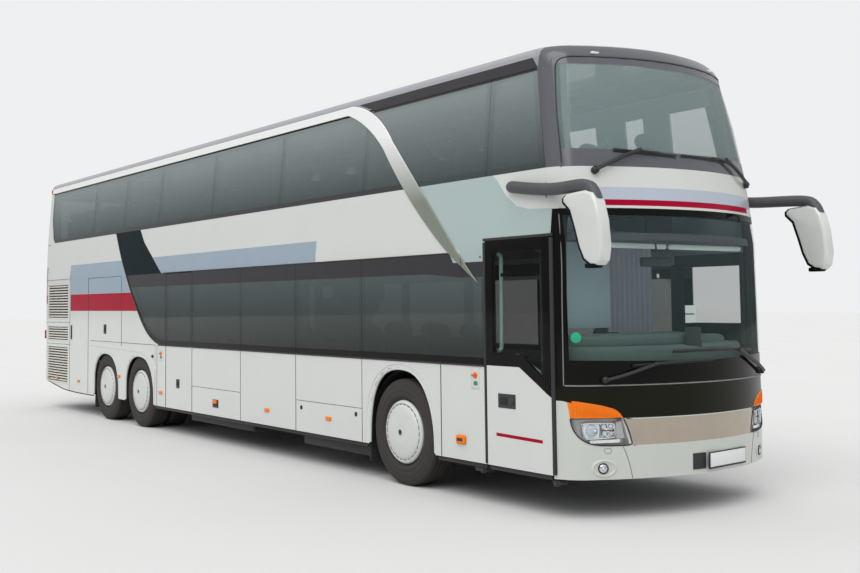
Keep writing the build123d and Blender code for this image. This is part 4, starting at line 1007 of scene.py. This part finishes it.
def wipers(bm):
    for arm, blade in (
        (((-0.965, 1.135), (-0.82, 1.17), (-0.65, 1.228), (-0.52, 1.266)),
         ((-0.74, 1.248), (-0.52, 1.262), (-0.25, 1.272), (0.108, 1.278))),
        (((1.068, 1.137), (0.893, 1.202), (0.758, 1.244), (0.472, 1.352)),
         ((-0.357, 1.359), (-0.08, 1.364), (0.336, 1.36), (0.77, 1.341))),
        (((-0.95, 2.863), (-0.79, 2.942), (-0.67, 3), (-0.546, 3.043)),
         ((-0.775, 3.045), (-0.532, 3.028), (-0.37, 3.02), (-0.178, 3.012))),
        (((0.981, 2.84), (0.837, 2.872), (0.733, 2.937), (0.509, 3.026)),
         ((-0.112, 3.023), (0.175, 3.016), (0.4, 3.02), (0.636, 3.029))),
    ):
        nose_line(bm, arm, 0.016, 0.04)
        nose_line(bm, arm[-2:] + blade[1:3], 0.01, 0.036)
        nose_line(bm, blade, 0.008, 0.02)
        nose_line(bm, [(y, z - 0.014) for y, z in blade], 0.005, 0.008)
        stamp(bm, bowl(0.028, 0.05, 0.012), facing(*arm[0], 0.035))


fitted("wipers", wipers, "black_plastic", wiper_black)

# ---- mirrors ----
# A thick dark arm hugs each front corner and carries a white shell whose rear half is a dark
# frame round the glass, with a small lamp at its foot.
arm_grey = surface("mirror_arm_plastic", (74, 74, 78), (64, 64, 68), 30, (0.45, 0.55), bump=0.1)
reach = 2.98
housing = (
    (-0.42, 2.6), (-0.38, 2.628), (-0.18, 2.64), (-0.1, 2.615), (-0.06, 2.55), (-0.02, 2.4), (0, 2.2),
    (-0.02, 2.09), (-0.06, 2.052), (-0.13, 2.055), (-0.2, 2.1), (-0.25, 2.2), (-0.29, 2.33), (-0.345, 2.49),
    (-0.42, 2.56),
)


def prism(corners, move, radius, segments=3, turn=0):
    """A drawing of an outline drawn out along a vector, rounded where it turns more than an angle."""

    def draw(small):
        face = small.faces.new([small.verts.new(corner) for corner in corners])
        grown = bmesh.ops.extrude_face_region(small, geom=[face])["geom"]
        verts = [v for v in grown if isinstance(v, bmesh.types.BMVert)]
        bmesh.ops.translate(small, verts=verts, vec=move)
        edges = [e for e in small.edges if e.calc_face_angle(0) > math.radians(turn)]
        round_off(small, edges, radius, segments)

    return draw


def mirror_shells(bm):
    side = wall_y - 0.07
    shell = prism([(x, 0, z) for x, z in housing], (0, -0.128, 0), 0.03, 4, 60)
    stamp(bm, shell, at(reach - 0.002, side - 0.001, 0), 0)
    rear_half = [(x - 0.012, 0, z - 0.006) for x, z in housing if x < -0.05]
    stamp(bm, prism(rear_half, (0, -0.116, 0), 0.012, 3, 60), at(reach - 0.003, side - 0.006, 0), 1)
    block(bm, (2.76, side - 0.1, 2.032), (2.9, side - 0.03, 2.07), 0.012, 1, 3)
    both_sides(bm)


def mirror_arms(bm):
    pipe(
        bm,
        [
            (1.69, -1.236, 2.775), (1.72, -1.262, 2.772), (1.95, -1.272, 2.735), (2.25, -1.285, 2.7),
            (2.5, -1.34, 2.695), (2.72, -1.4, 2.69), (2.84, -1.405, 2.655), (2.87, -1.405, 2.56),
        ],
        0.052, sides=4,
    )
    pipe(bm, [(2.176, -1.283, 2.765), (2.18, -1.345, 2.7), (2.184, -1.283, 2.64)], 0.004, 1)
    both_sides(bm)


fitted("mirror_shells", mirror_shells, "white_paint", white, frame_black, degrees=35, replaced=["mirrors"])
fitted("mirror_brackets", mirror_arms, "black_plastic", arm_grey, seal_black, replaced=["mirror_arms"])

# ---- driver's place ----
# Moulded dashboard under the windscreen with a raised hood for the instruments, a screen on a
# stalk, a wide mirror, blinds on their rollers and two lit ceiling strips.
dash_grey = surface("dashboard_plastic", (86, 106, 103), (77, 97, 94), 30, (0.55, 0.7), bump=0.2)
blind_blue = surface("blind_cloth", (165, 188, 194), (156, 180, 187), 60, (0.75, 0.85), bump=0.2)
curtain_grey = surface("curtain_cloth", (176, 180, 190), (164, 168, 179), 40, (0.85, 0.95), bump=0.3)
strip_white = surface("ceiling_strip", (226, 244, 238), (215, 236, 230), 20, (0.4, 0.5))
tune(strip_white.node_tree.nodes["Principled BSDF"], Emission_Color=(0.8, 1, 0.95, 1), Emission_Strength=0.1)
paper_white = surface("card", (236, 244, 240), (226, 236, 232), 40, (0.7, 0.8))
badge_green = surface("green_badge", (10, 206, 148), (8, 196, 140), 20, (0.4, 0.5))
header_blue = surface("header_lining", (120, 142, 154), (112, 134, 147), 20, (0.6, 0.7))


def plan_block(bm, outline, low, high, radius, index=0):
    """A block over a plan of (x, y) points, with rounded edges."""
    stamp(bm, prism([(station + x, y, low) for x, y in outline], (0, 0, high - low), radius), index=index)


def dash_cover(bm):
    front = [(2.2, -1.1), (2.36, -0.9), (2.46, -0.5), (2.5, 0), (2.46, 0.5), (2.36, 0.9), (2.2, 1.1)]
    plan_block(bm, [(2.02, 1.1), (2.02, -1.1), *front], 1.14, 1.4, 0.04)
    plan_block(
        bm, [(2.1, 0.3), (2.1, -1.05), (2.18, -1.05), (2.34, -0.85), (2.42, -0.4), (2.44, 0.3)], 1.38, 1.5,
        0.04,
    )
    block(bm, (1.98, 0.4, 1.3), (2.22, 0.9, 1.47), 0.06, 0, 4)
    block(bm, (2.46, 0.035, 1.345), (2.48, 0.235, 1.545), 0.01, 1, 3)
    pipe(bm, [(2.4, 0.14, 1.36), (2.43, 0.14, 1.4), (2.465, 0.14, 1.44)], 0.014, 1)


def cab_fittings(bm):
    block(bm, (2.046, -0.97, 1.545), (2.056, -0.44, 2.5), 0.004, 0)
    for y0, y1 in ((-0.66, 0.1), (0.14, 1.12)):
        block(bm, (2.2, y0, 2.235), (2.235, y1, 2.282), 0.015, 1, 3)
    block(bm, (1.92, -1.14, 2.3), (2.2, 1.14, 2.38), 0.03, 2, 3)
    block(bm, (2.32, -0.36, 2.07), (2.37, 0.01, 2.155), 0.022, 3, 4)
    pipe(bm, [(2.33, -0.16, 2.3), (2.345, -0.16, 2.2), (2.345, -0.16, 2.15)], 0.008, 3)
    pipe(bm, [(2.35, -0.156, 2.08), (2.352, -0.156, 2.04), (2.35, -0.156, 2.01)], 0.002, 3)
    block(bm, (2.345, -0.17, 1.975), (2.352, -0.142, 2.01), 0.003, 4, 2)
    for z0, z1 in ((1.585, 1.655), (1.665, 1.735)):
        block(bm, (2.49, 0.015, z0), (2.494, 0.15, z1), 0.001, 4, 1)


def green_badge(bm):
    stamp(
        bm, turned([(0, 0.003), (0.039, 0.003), (0.042, 0.0015), (0.043, -0.001)], 32),
        facing(-1.163, 1.48, -0.013) @ quarter_turn,
    )


def curtain(bm):
    y0, y1, folds = -0.32, 0.26, 9
    low, high = 1.5, 2.3
    bmesh.ops.create_grid(bm, x_segments=folds * 8, y_segments=4, size=0.5)
    for vert in bm.verts:
        across, up = vert.co.x + 0.5, vert.co.y + 0.5
        wave = math.sin(across * folds * 2 * math.pi) * (0.012 + 0.008 * (1 - up))
        vert.co = Vector((station + 1.9 + wave, y0 + (y1 - y0) * across, low + (high - low) * up))


fitted("dashboard_cover", dash_cover, "black_plastic", dash_grey, wiper_black)
fitted(
    "cab_fittings", cab_fittings, "black_plastic", blind_blue, strip_white, header_blue, wiper_black,
    paper_white,
)
fitted("green_badge", green_badge, "black_plastic", badge_green)
drape = fitted("cab_curtain", curtain, "seat_fabric", curtain_grey, degrees=80)
weave = drape.modifiers.new("cloth", "SOLIDIFY")
weave.thickness = 0.003

# ---- upper deck lining ----
# Moulded trim round the left front windows: a head rail under the roof and covers on two
# window posts, clipped to the frame.
lining_grey = surface("moulded_lining", (168, 176, 174), (158, 167, 165), 20, (0.65, 0.8), bump=0.1)
side_in, thick = 0.035, 0.03


def upper_lining(bm):
    for x0, x1, z0, z1 in ((-4, 2, 3.66, 3.84), (0.42, 0.83, 2.98, 3.7), (1.09, 1.43, 2.98, 3.7)):
        foot, head = ((-side_y(z) - side_in, z) for z in (z0, z1))
        spots = [(x, y - t, z) for x in (x0, x1) for t in (0, thick) for y, z in (foot, head)]

        def draw(small):
            corners = [small.verts.new((station + x, y, z)) for x, y, z in spots]
            bmesh.ops.convex_hull(small, input=corners)
            bmesh.ops.dissolve_limit(small, angle_limit=0.02, verts=small.verts, edges=small.edges)
            bmesh.ops.recalc_face_normals(small, faces=small.faces)

        stamp(bm, draw)


fitted("upper_lining", upper_lining, "black_plastic", lining_grey)

# ---- seats ----
# Coach seats in pairs: a crowned cushion, a high back with a separate head pad, in woven cloth,
# on a moulded shell and a steel foot.
cloth = surface("seat_cloth", (58, 70, 104), (78, 60, 92), 120, (0.85, 0.95), bump=0.4)
shell_grey = surface("seat_shell", (52, 54, 58), (44, 46, 50), 30, (0.5, 0.6), bump=0.1)


def pillow(size, pull=0.45):
    """A drawing of a crowned pad: a block whose faces swell and whose corners pull in."""

    def draw(small):
        bmesh.ops.create_cube(small, size=2)
        bmesh.ops.subdivide_edges(small, edges=small.edges, cuts=4, use_grid_fill=True)
        for vert in small.verts:
            u, v, w = vert.co
            vert.co = Vector((
                size[0] / 2 * u * (1 - pull * (v * v + w * w) / 2 + pull * v * v * w * w / 3),
                size[1] / 2 * v * (1 - pull * (u * u + w * w) / 2 + pull * u * u * w * w / 3),
                size[2] / 2 * w * (1 - pull * (u * u + v * v) / 2 + pull * u * u * v * v / 3),
            ))

    return draw


seat_mesh = bmesh.new()
joined("seats", seat_mesh)
benches, left = [], set(seat_mesh.verts)
while left:
    group, waiting = set(), [left.pop()]
    while waiting:
        vert = waiting.pop()
        group.add(vert)
        near = {e.other_vert(vert) for e in vert.link_edges} & left
        left -= near
        waiting += near
    spots = [v.co for v in group]
    benches.append([(min(c[i] for c in spots), max(c[i] for c in spots)) for i in range(3)])
seat_mesh.free()
benches.sort()
lean = math.atan2(0.15, 0.68)


def seat_pads(bm):
    for (x0, _), (y0, y1), (z0, _) in benches:
        count = 2 if y1 - y0 > 0.6 else 1
        wide = (y1 - y0) / count
        for n in range(count):
            y = y0 + wide * (n + 0.5)
            foot = Vector((x0 + 0.21, y, z0))
            stamp(bm, pillow((0.43, wide - 0.03, 0.145)), Matrix.Translation(foot + Vector((0.255, 0, 0.37))))
            back = Matrix.Translation(foot + Vector((-0.025, 0, 0.4))) @ Matrix.Rotation(-lean, 4, "Y")
            stamp(bm, pillow((0.115, wide - 0.03, 0.56)), back @ Matrix.Translation((0.01, 0, 0.29)))
            stamp(bm, pillow((0.1, wide - 0.12, 0.2), 0.6), back @ Matrix.Translation((0.012, 0, 0.62)))


def seat_frames(bm):
    for (x0, _), (y0, y1), (z0, _) in benches:
        foot, wide = Vector((x0 + 0.21, (y0 + y1) / 2, z0)), y1 - y0
        tilted = Matrix.Rotation(-lean, 4, "Y") @ Matrix.Translation((0, 0, 0.29))
        for size, radius, spot, turn in (
            ((0.05, 0.34, 0.28), 0.01, (0.18, 0, 0.145), Matrix()),
            ((0.3, wide - 0.16, 0.03), 0.01, (0.2, 0, 0.29), Matrix()),
            ((0.03, wide - 0.05, 0.6), 0.012, (-0.085, 0, 0.36), tilted),
        ):
            stamp(bm, rounded(size, radius, 1), Matrix.Translation(foot + Vector(spot)) @ turn)


pads = fitted("seat_pads", seat_pads, "seat_fabric", cloth, degrees=80, replaced=["seats"])
fitted("seat_frames", seat_frames, "dark_metal", shell_grey)

# ---- side fittings ----
# Small things screwed or glued to the flanks: amber side markers, latches, locks, emergency
# door switches, rubber seals, pressed creases, panel joints and the black sill.
knob_red = surface("switch_knob", (206, 46, 36), (220, 96, 30), 60, (0.4, 0.5))
latch_black = surface("latch_plastic", (50, 51, 54), (60, 61, 64), 40, (0.35, 0.5), shine=0.3)
label_green = surface("switch_label", (70, 130, 96), (60, 118, 86), 60, (0.5, 0.6))


def markers(bm):
    for x, z in ((-10.3, 0.532), (-9.2, 0.533), (-7.4, 0.695), (-5.8, 0.545), (-2.68, 0.53)):
        block(bm, (x - 0.055, -1.287, z - 0.022), (x + 0.055, -1.268, z + 0.022), 0.008, 0, 3)
    block(bm, (0.93, -1.3, 0.495), (1.06, -1.268, 0.578), 0.022, 0, 4)
    block(bm, (0.95, -1.3025, 0.52), (1.035, -1.29, 0.553), 0.006, 1, 2)
    both_sides(bm)
    block(bm, (-1.355, 1.268, 0.518), (-1.245, 1.287, 0.562), 0.008, 0, 3)


def latch(bm, x0, x1, z0, z1, side=-1):
    """A recessed pull latch: a frame and, inside it, a plate in painted shade."""
    for inset, low, high, index in ((0, 1.268, 1.279, 0), (0.022, 1.274, 1.284, 1)):
        y0, y1 = sorted((side * low, side * high))
        block(bm, (x0 + inset, y0, z0 + inset * 1.4), (x1 - inset, y1, z1 - inset * 1.4), 0.007, index)


def keyhole(bm, x, z, wide=1):
    """A round lock with its key slot, drawn out along the coach where it is wide."""
    place = at(x, -1.2755, z) @ Matrix.Scale(wide, 4, (1, 0, 0))
    # the lock's round recess is painted shade
    stamp(
        bm, turned([(0, -0.004), (0.012, -0.0045), (0.019, -0.005), (0.024, -0.003), (0.025, 0.003)], 24),
        place, 1,
    )
    stamp(bm, turned([(0, -0.0065), (0.006, -0.006), (0.009, -0.004)], 16), place, 0)


def latches(bm):
    latch(bm, -9.615, -9.54, 1.21, 1.455)
    keyhole(bm, -6.1, 1.045, 1.7)
    both_sides(bm)


def door_lock(bm):
    block(bm, (1.51, -1.279, 0.86), (1.74, -1.268, 0.985), 0.014, 0, 3)
    # the handle's grip is painted shade
    block(bm, (1.535, -1.285, 0.89), (1.635, -1.275, 0.955), 0.008, 1)
    stamp(
        bm, turned([(0, -0.012), (0.014, -0.011), (0.02, -0.006), (0.021, 0)], 24),
        at(1.69, -1.278, 0.922) @ Matrix.Scale(1.5, 4), 0,
    )


def switches(bm):
    for x, z0, z1 in ((-5.8, 0.99, 1.17), (1.2, 1, 1.2)):
        block(bm, (x - 0.062, -1.278, z0), (x + 0.062, -1.268, z1), 0.02, 0, 4)
        block(bm, (x - 0.05, -1.2792, z0 + 0.012), (x + 0.05, -1.272, z1 - 0.012), 0.016, 4, 4)
        knob = at(x + 0.004, -1.279, z1 - 0.075)
        stamp(bm, turned([(0, -0.008), (0.024, -0.007), (0.03, -0.003), (0.031, 0.004)], 28), knob, 2)
        stamp(bm, rounded((0.072, 0.014, 0.018), 0.006, 2), knob @ Matrix.Translation((-0.006, -0.01, 0)), 1)
        block(bm, (x - 0.018, -1.282, z0 + 0.035), (x + 0.036, -1.276, z0 + 0.072), 0.004, 3)


def sill(bm):
    for x0, x1 in ((-6.03, -0.56), (0.62, 1.33), (1.37, 2.16)):
        block(bm, (x0, -1.262, 0.312), (x1, -1.2, 0.349), 0.01, 0)
    block(bm, (-2, -1.18, 0.2), (-0.62, -0.75, 0.34), 0.03, 0, 3)
    block(bm, (-5, -1.18, 0.22), (-3.2, -0.75, 0.34), 0.03, 0, 3)
    both_sides(bm)


def foot_brackets(bm):
    for x, long in ((1.27, 0.12), (2.2, 0.05)):
        block(bm, (x - long, -1.255, 0.275), (x + 0.03, -1.15, 0.316), 0.012, 0, 3)
        stamp(
            bm, turned([(0, -0.03), (0.012, -0.028), (0.02, -0.02), (0.022, 0.02)], 20),
            at(x, -1.25, 0.285),
        )


def creases(bm):
    ridge = [
        (-8.9, 1.155), (-8.552, 1.144), (-7.5, 1.118), (-6.6, 1.096), (-6.3, 1.06), (-6.08, 0.98),
        (-5.98, 0.86),
    ]
    pipe(bm, [(x, -1.2735, z) for x, z in ridge], 0.008)
    ridge = [
        (-0.62, 0.37), (-0.6, 0.66), (-0.53, 0.9), (-0.4, 1.06), (-0.2, 1.165), (0, 1.185), (0.2, 1.165),
        (0.36, 1.09), (0.5, 0.95), (0.58, 0.75), (0.61, 0.5), (0.615, 0.37),
    ]
    pipe(bm, [(0.035 + x, -1.2735, z) for x, z in ridge], 0.007)
    both_sides(bm)


def band_beads(bm):
    for ends in ((-5.9, -5.75, -5.64), (-4.763, -2, 1.33)):
        pipe(bm, [(x, -1.277, 1.212) for x in ends], 0.008)
    pipe(bm, [(x, -1.2765, 2.232) for x in (-5.75, -4, -2, 0, 0.86)], 0.005)
    pipe(bm, [(x, side_y(z) - 0.0015, z) for x, z in rear_edge], 0.0095)
    both_sides(bm)
    pipe(bm, [(x, 1.277, 1.212) for x in (-5.64, -5.2, -4.763)], 0.008)
    pipe(bm, [(1.294, -1.2765, 2.181), (1.296, -1.2785, 2.181), (1.298, -1.2765, 2.181)], 0.009)


def panel_joints(bm):
    for x in (-5.94, -3.362, -2.004, -0.643, 0.694):
        pipe(bm, [(x, -1.2752, z) for z in (1.203, 0.8, 0.36)], 0.0035 if x < 0 else 0.005, sides=1)
    both_sides(bm)


def panel_lines(bm):
    for line in (
        [(-10.9, 2.236), (-10.2, 2.237), (-9.68, 2.238)], [(-10.9, 1.495), (-10.3, 1.497), (-9.67, 1.5)],
        [(-10.87, 1.125), (-10.3, 1.125), (-9.67, 1.125)], [(-9.66, 2.3), (-9.66, 1.3), (-9.66, 0.345)],
        [(-8.67, 1.216), (-8, 1.215), (-7.31, 1.214)], [(-7.29, 1.214), (-6.6, 1.212), (-6, 1.21)],
        [(-7.3, 2.21), (-7.3, 1.7), (-7.3, 1.16)], [(-8.76, 2.23), (-8.76, 1.7), (-8.76, 0.36)],
        [(-11.03, 2.872), (-10.95, 2.874), (-10.86, 2.876)],
    ):
        pipe(bm, [(x, side_y(z) - 0.0005, z) for x, z in line], 0.0035, sides=1)
    pipe(
        bm,
        [(-10.83, -1.262, 0.458), (-10.3, -1.264, 0.392), (-9.69, -1.264, 0.33), (-8.52, -1.264, 0.336)],
        0.009, 1,
    )
    both_sides(bm)


fitted("panel_lines", panel_lines, "black_plastic", line_grey, plastic)
fitted("side_markers", markers, "amber_lens", amber, latch_black)
for name, low, high in (
    ("front", (-1.355, -1.287, 0.518), (-1.245, -1.268, 0.562)),
    ("rear", (-4.12, -1.293, 0.51), (-4.01, -1.275, 0.557)),
):
    flap = f"service_flap_{name}"
    fitted(
        f"{name}_flap_marker", lambda bm: block(bm, low, high, 0.008, 0, 3), "amber_lens", amber, body=flap,
    )
for name, body, draw in (
    ("latches", "body", latches),
    ("middle_door_latch", "middle_door", lambda bm: latch(bm, -5.275, -5.165, 0.64, 0.765)),
    ("rear_flap_latch", "service_flap_rear", lambda bm: latch(bm, -4.14, -3.97, 0.46, 0.565)),
    ("front_flap_locks", "service_flap_front",
     lambda bm: (keyhole(bm, -1.88, 0.62), keyhole(bm, -0.76, 0.63))),
    ("luggage_door_right_latch", "luggage_door_right",
     lambda bm: latch(bm, -8.06, -7.94, 1.335, 1.485)),
    ("luggage_door_left_latch", "luggage_door_left",
     lambda bm: latch(bm, -8.06, -7.94, 1.335, 1.485, 1)),
):
    fitted(name, draw, "black_plastic", latch_black, slot_shade, body=body)
fitted(
    "middle_door_bead", lambda bm: pipe(bm, [(x, -1.277, 1.212) for x in (-5.612, -5.2, -4.79)], 0.008),
    "black_plastic", seal_black, body="middle_door",
)
fitted("panel_joints", panel_joints, "black_plastic", line_grey)
fitted("door_lock", door_lock, "black_plastic", latch_black, slot_shade, body="front_door")
fitted("door_switches", switches, "white_paint", bumper_white, knob_red, amber, label_green, white)
fitted("sills", sill, "black_plastic", plastic)
fitted("step_brackets", foot_brackets, "black_plastic", plastic)
fitted("pressed_creases", creases, "white_paint", white)
fitted("band_seals", band_beads, "black_plastic", seal_black)

# ---- handrails and door gear ----
# Mint coated tube handrails bolted inside the front door's leaf; the arms and bearings of both
# doors are painted steel.
rail_mint = surface("handrail_coating", (188, 226, 218), (178, 217, 210), 30, (0.3, 0.4), coat=0.3)
gear_metal = surface("door_gear", (56, 58, 60), (66, 68, 70), 40, (0.45, 0.55), 0.6)


def front_rails(bm):
    pipe(
        bm,
        [
            (1.448, -1.2, 2.2), (1.448, -1.17, 2.195), (1.448, -1.165, 2.16), (1.448, -1.165, 2.1),
            (1.443, -1.165, 1.8), (1.438, -1.165, 1.45), (1.437, -1.165, 1.39), (1.437, -1.17, 1.355),
            (1.437, -1.2, 1.35),
        ],
        0.019, sides=3,
    )
    pipe(bm, [(1.374, -1.215, 2.22), (1.364, -1.215, 1.78), (1.354, -1.215, 1.33)], 0.011)
    pipe(
        bm,
        [
            (1.67, -1.2, 1.32), (1.693, -1.165, 1.309), (1.84, -1.165, 1.22), (1.96, -1.165, 1.165),
            (1.99, -1.2, 1.16),
        ],
        0.014,
    )


fitted("front_door_rails", front_rails, "polished_trim", rail_mint, body="front_door")

# ---- roof ----
# Two ventilation hatches on the painted sheet roof, seams across it and, over the upper
# windscreen, two small clear marker lamps.


def roof_fittings(bm):
    for x in (-8.2, -1.9):
        block(bm, (x - 0.45, -0.4, 3.985), (x + 0.45, 0.4, 3.9995), 0.006, 0, 3)
    for x in (-9.6, -6.8, -4.6, -2.6, -0.6, 1.1):
        pipe(bm, [(x, -1, 3.9965), (x, 0, 3.999), (x, 1, 3.9965)], 0.002, 1, sides=1)


def roof_markers(bm):
    for y in (-0.74, 0.74):
        spot, _ = on_nose(y, 3.91)
        stamp(
            bm, rounded((0.03, 0.09, 0.022), 0.009, 3),
            Matrix.Translation(spot + Vector((-0.004, 0, 0.002))),
        )


fitted("roof_hatches", roof_fittings, "grey_paint", roof_grey, line_grey)
fitted("roof_markers", roof_markers, "lamp_glass", plate_white)

# ---- tail ----
# Rear wall with a wide window high up, the engine lid with its louvres and handle, upright lamp
# clusters behind red, amber and clear lenses, and the bumper with a blank plate.
tail_tree = cast_tree("rear_wall", "rear_bumper", "engine_lid", "rear_window", "roof")


def behind(y, z, out=0):
    """As facing, but straight out of the tail."""
    return facing(y, z, out, tail_tree, -13)


lamp_fields = [
    stripe(1, 1.4, 1.08, 1.2),
    stripe(2, 1.4, 0.96, 1.02),
]
tail_belt = [
    stripe(1, 1.4, 1.975, 2.47),
    stripe(2, 1.4, 1.82, 1.972),
    stripe(3, 1.02, 2.95, 3.76),
]
painted("rear_wall", "white_paint", [white, blue, crimson, surround], tail_belt, 1)
painted("tail_lamps", "red_lens", [red_lens, amber, plate_white], lamp_fields, 1)
painted("engine_lid", "white_paint", [white], body="engine_lid")


def lid_fittings(bm):
    # the slots between the louvres, and the handle, are drawn in painted shade
    for n in range(7):
        place = behind(0, 1.12 + n * 0.045, 0.004)
        stamp(bm, rounded((1.1, 0.016, 0.02), 0.004, 1), place, 1)
    stamp(bm, rounded((0.3, 0.045, 0.03), 0.012, 3), behind(0, 0.84, 0.012), 1)


def tail_fittings(bm):
    stamp(bm, rounded((0.54, 0.13, 0.012), 0.004), behind(0, 0.58, 0.006), 1)
    stamp(bm, rounded((0.52, 0.11, 0.006), 0.002), behind(0, 0.58, 0.013), 0)
    for y in (-0.92, 0.92):
        stamp(bm, rounded((0.12, 0.05, 0.01), 0.006), behind(y, 0.52, 0.004), 2)
        stamp(bm, rounded((0.1, 0.03, 0.008), 0.003), behind(y, 3.85, -0.0025), 2)
    stamp(bm, bowl(0.03, 0.02, 0.012), behind(-1.1, 0.668, 0.01), 1)


def edge_lamps(bm):
    block(bm, (-11.03, -1.272, 1.2), (-11, -1.24, 1.35), 0.008, 0, 3)
    both_sides(bm)


fitted("lid_louvres", lid_fittings, "black_plastic", white, slot_shade, body="engine_lid")
fitted("tail_fittings", tail_fittings, "white_paint", plate_white, seal_black, red_lens)
fitted("tail_edge_lamps", edge_lamps, "red_lens", red_lens)

# ---- structure and running gear ----
# The floors, stairs, bulkheads, axles and engine keep their solid shapes: vinyl laid floors,
# painted steel and rough cast iron.
vinyl = surface("floor_vinyl", (58, 60, 64), (72, 74, 78), 90, (0.6, 0.75), bump=0.15)
lining = surface("wall_lining", (74, 78, 80), (66, 70, 73), 40, (0.7, 0.8), bump=0.15)
castings = surface("cast_iron", (70, 68, 66), (48, 46, 45), 24, (0.6, 0.8), 0.4, bump=0.5)
steel = surface("painted_steel", (52, 54, 56), (62, 64, 66), 30, (0.5, 0.65), 0.3, bump=0.15)
leather = surface("wheel_grip", (34, 33, 32), (42, 41, 40), 80, (0.5, 0.65), bump=0.3)
for node, material in (
    ("lower_floor", vinyl), ("upper_floor", vinyl), ("stairs", vinyl), ("hold_floor", steel),
    ("bulkheads_and_wheel_houses", lining), ("door_bearings", gear_metal), ("front_door_arm", gear_metal),
    ("middle_door_arm", gear_metal), ("engine", castings), ("front_axle", castings), ("drive_axle", castings),
    ("tag_axle", castings), ("knuckle_right", castings), ("knuckle_left", castings), ("dashboard", dash_grey),
    ("steering_wheel", leather),
):
    for place in NODES[node].material_slots:
        place.material = material
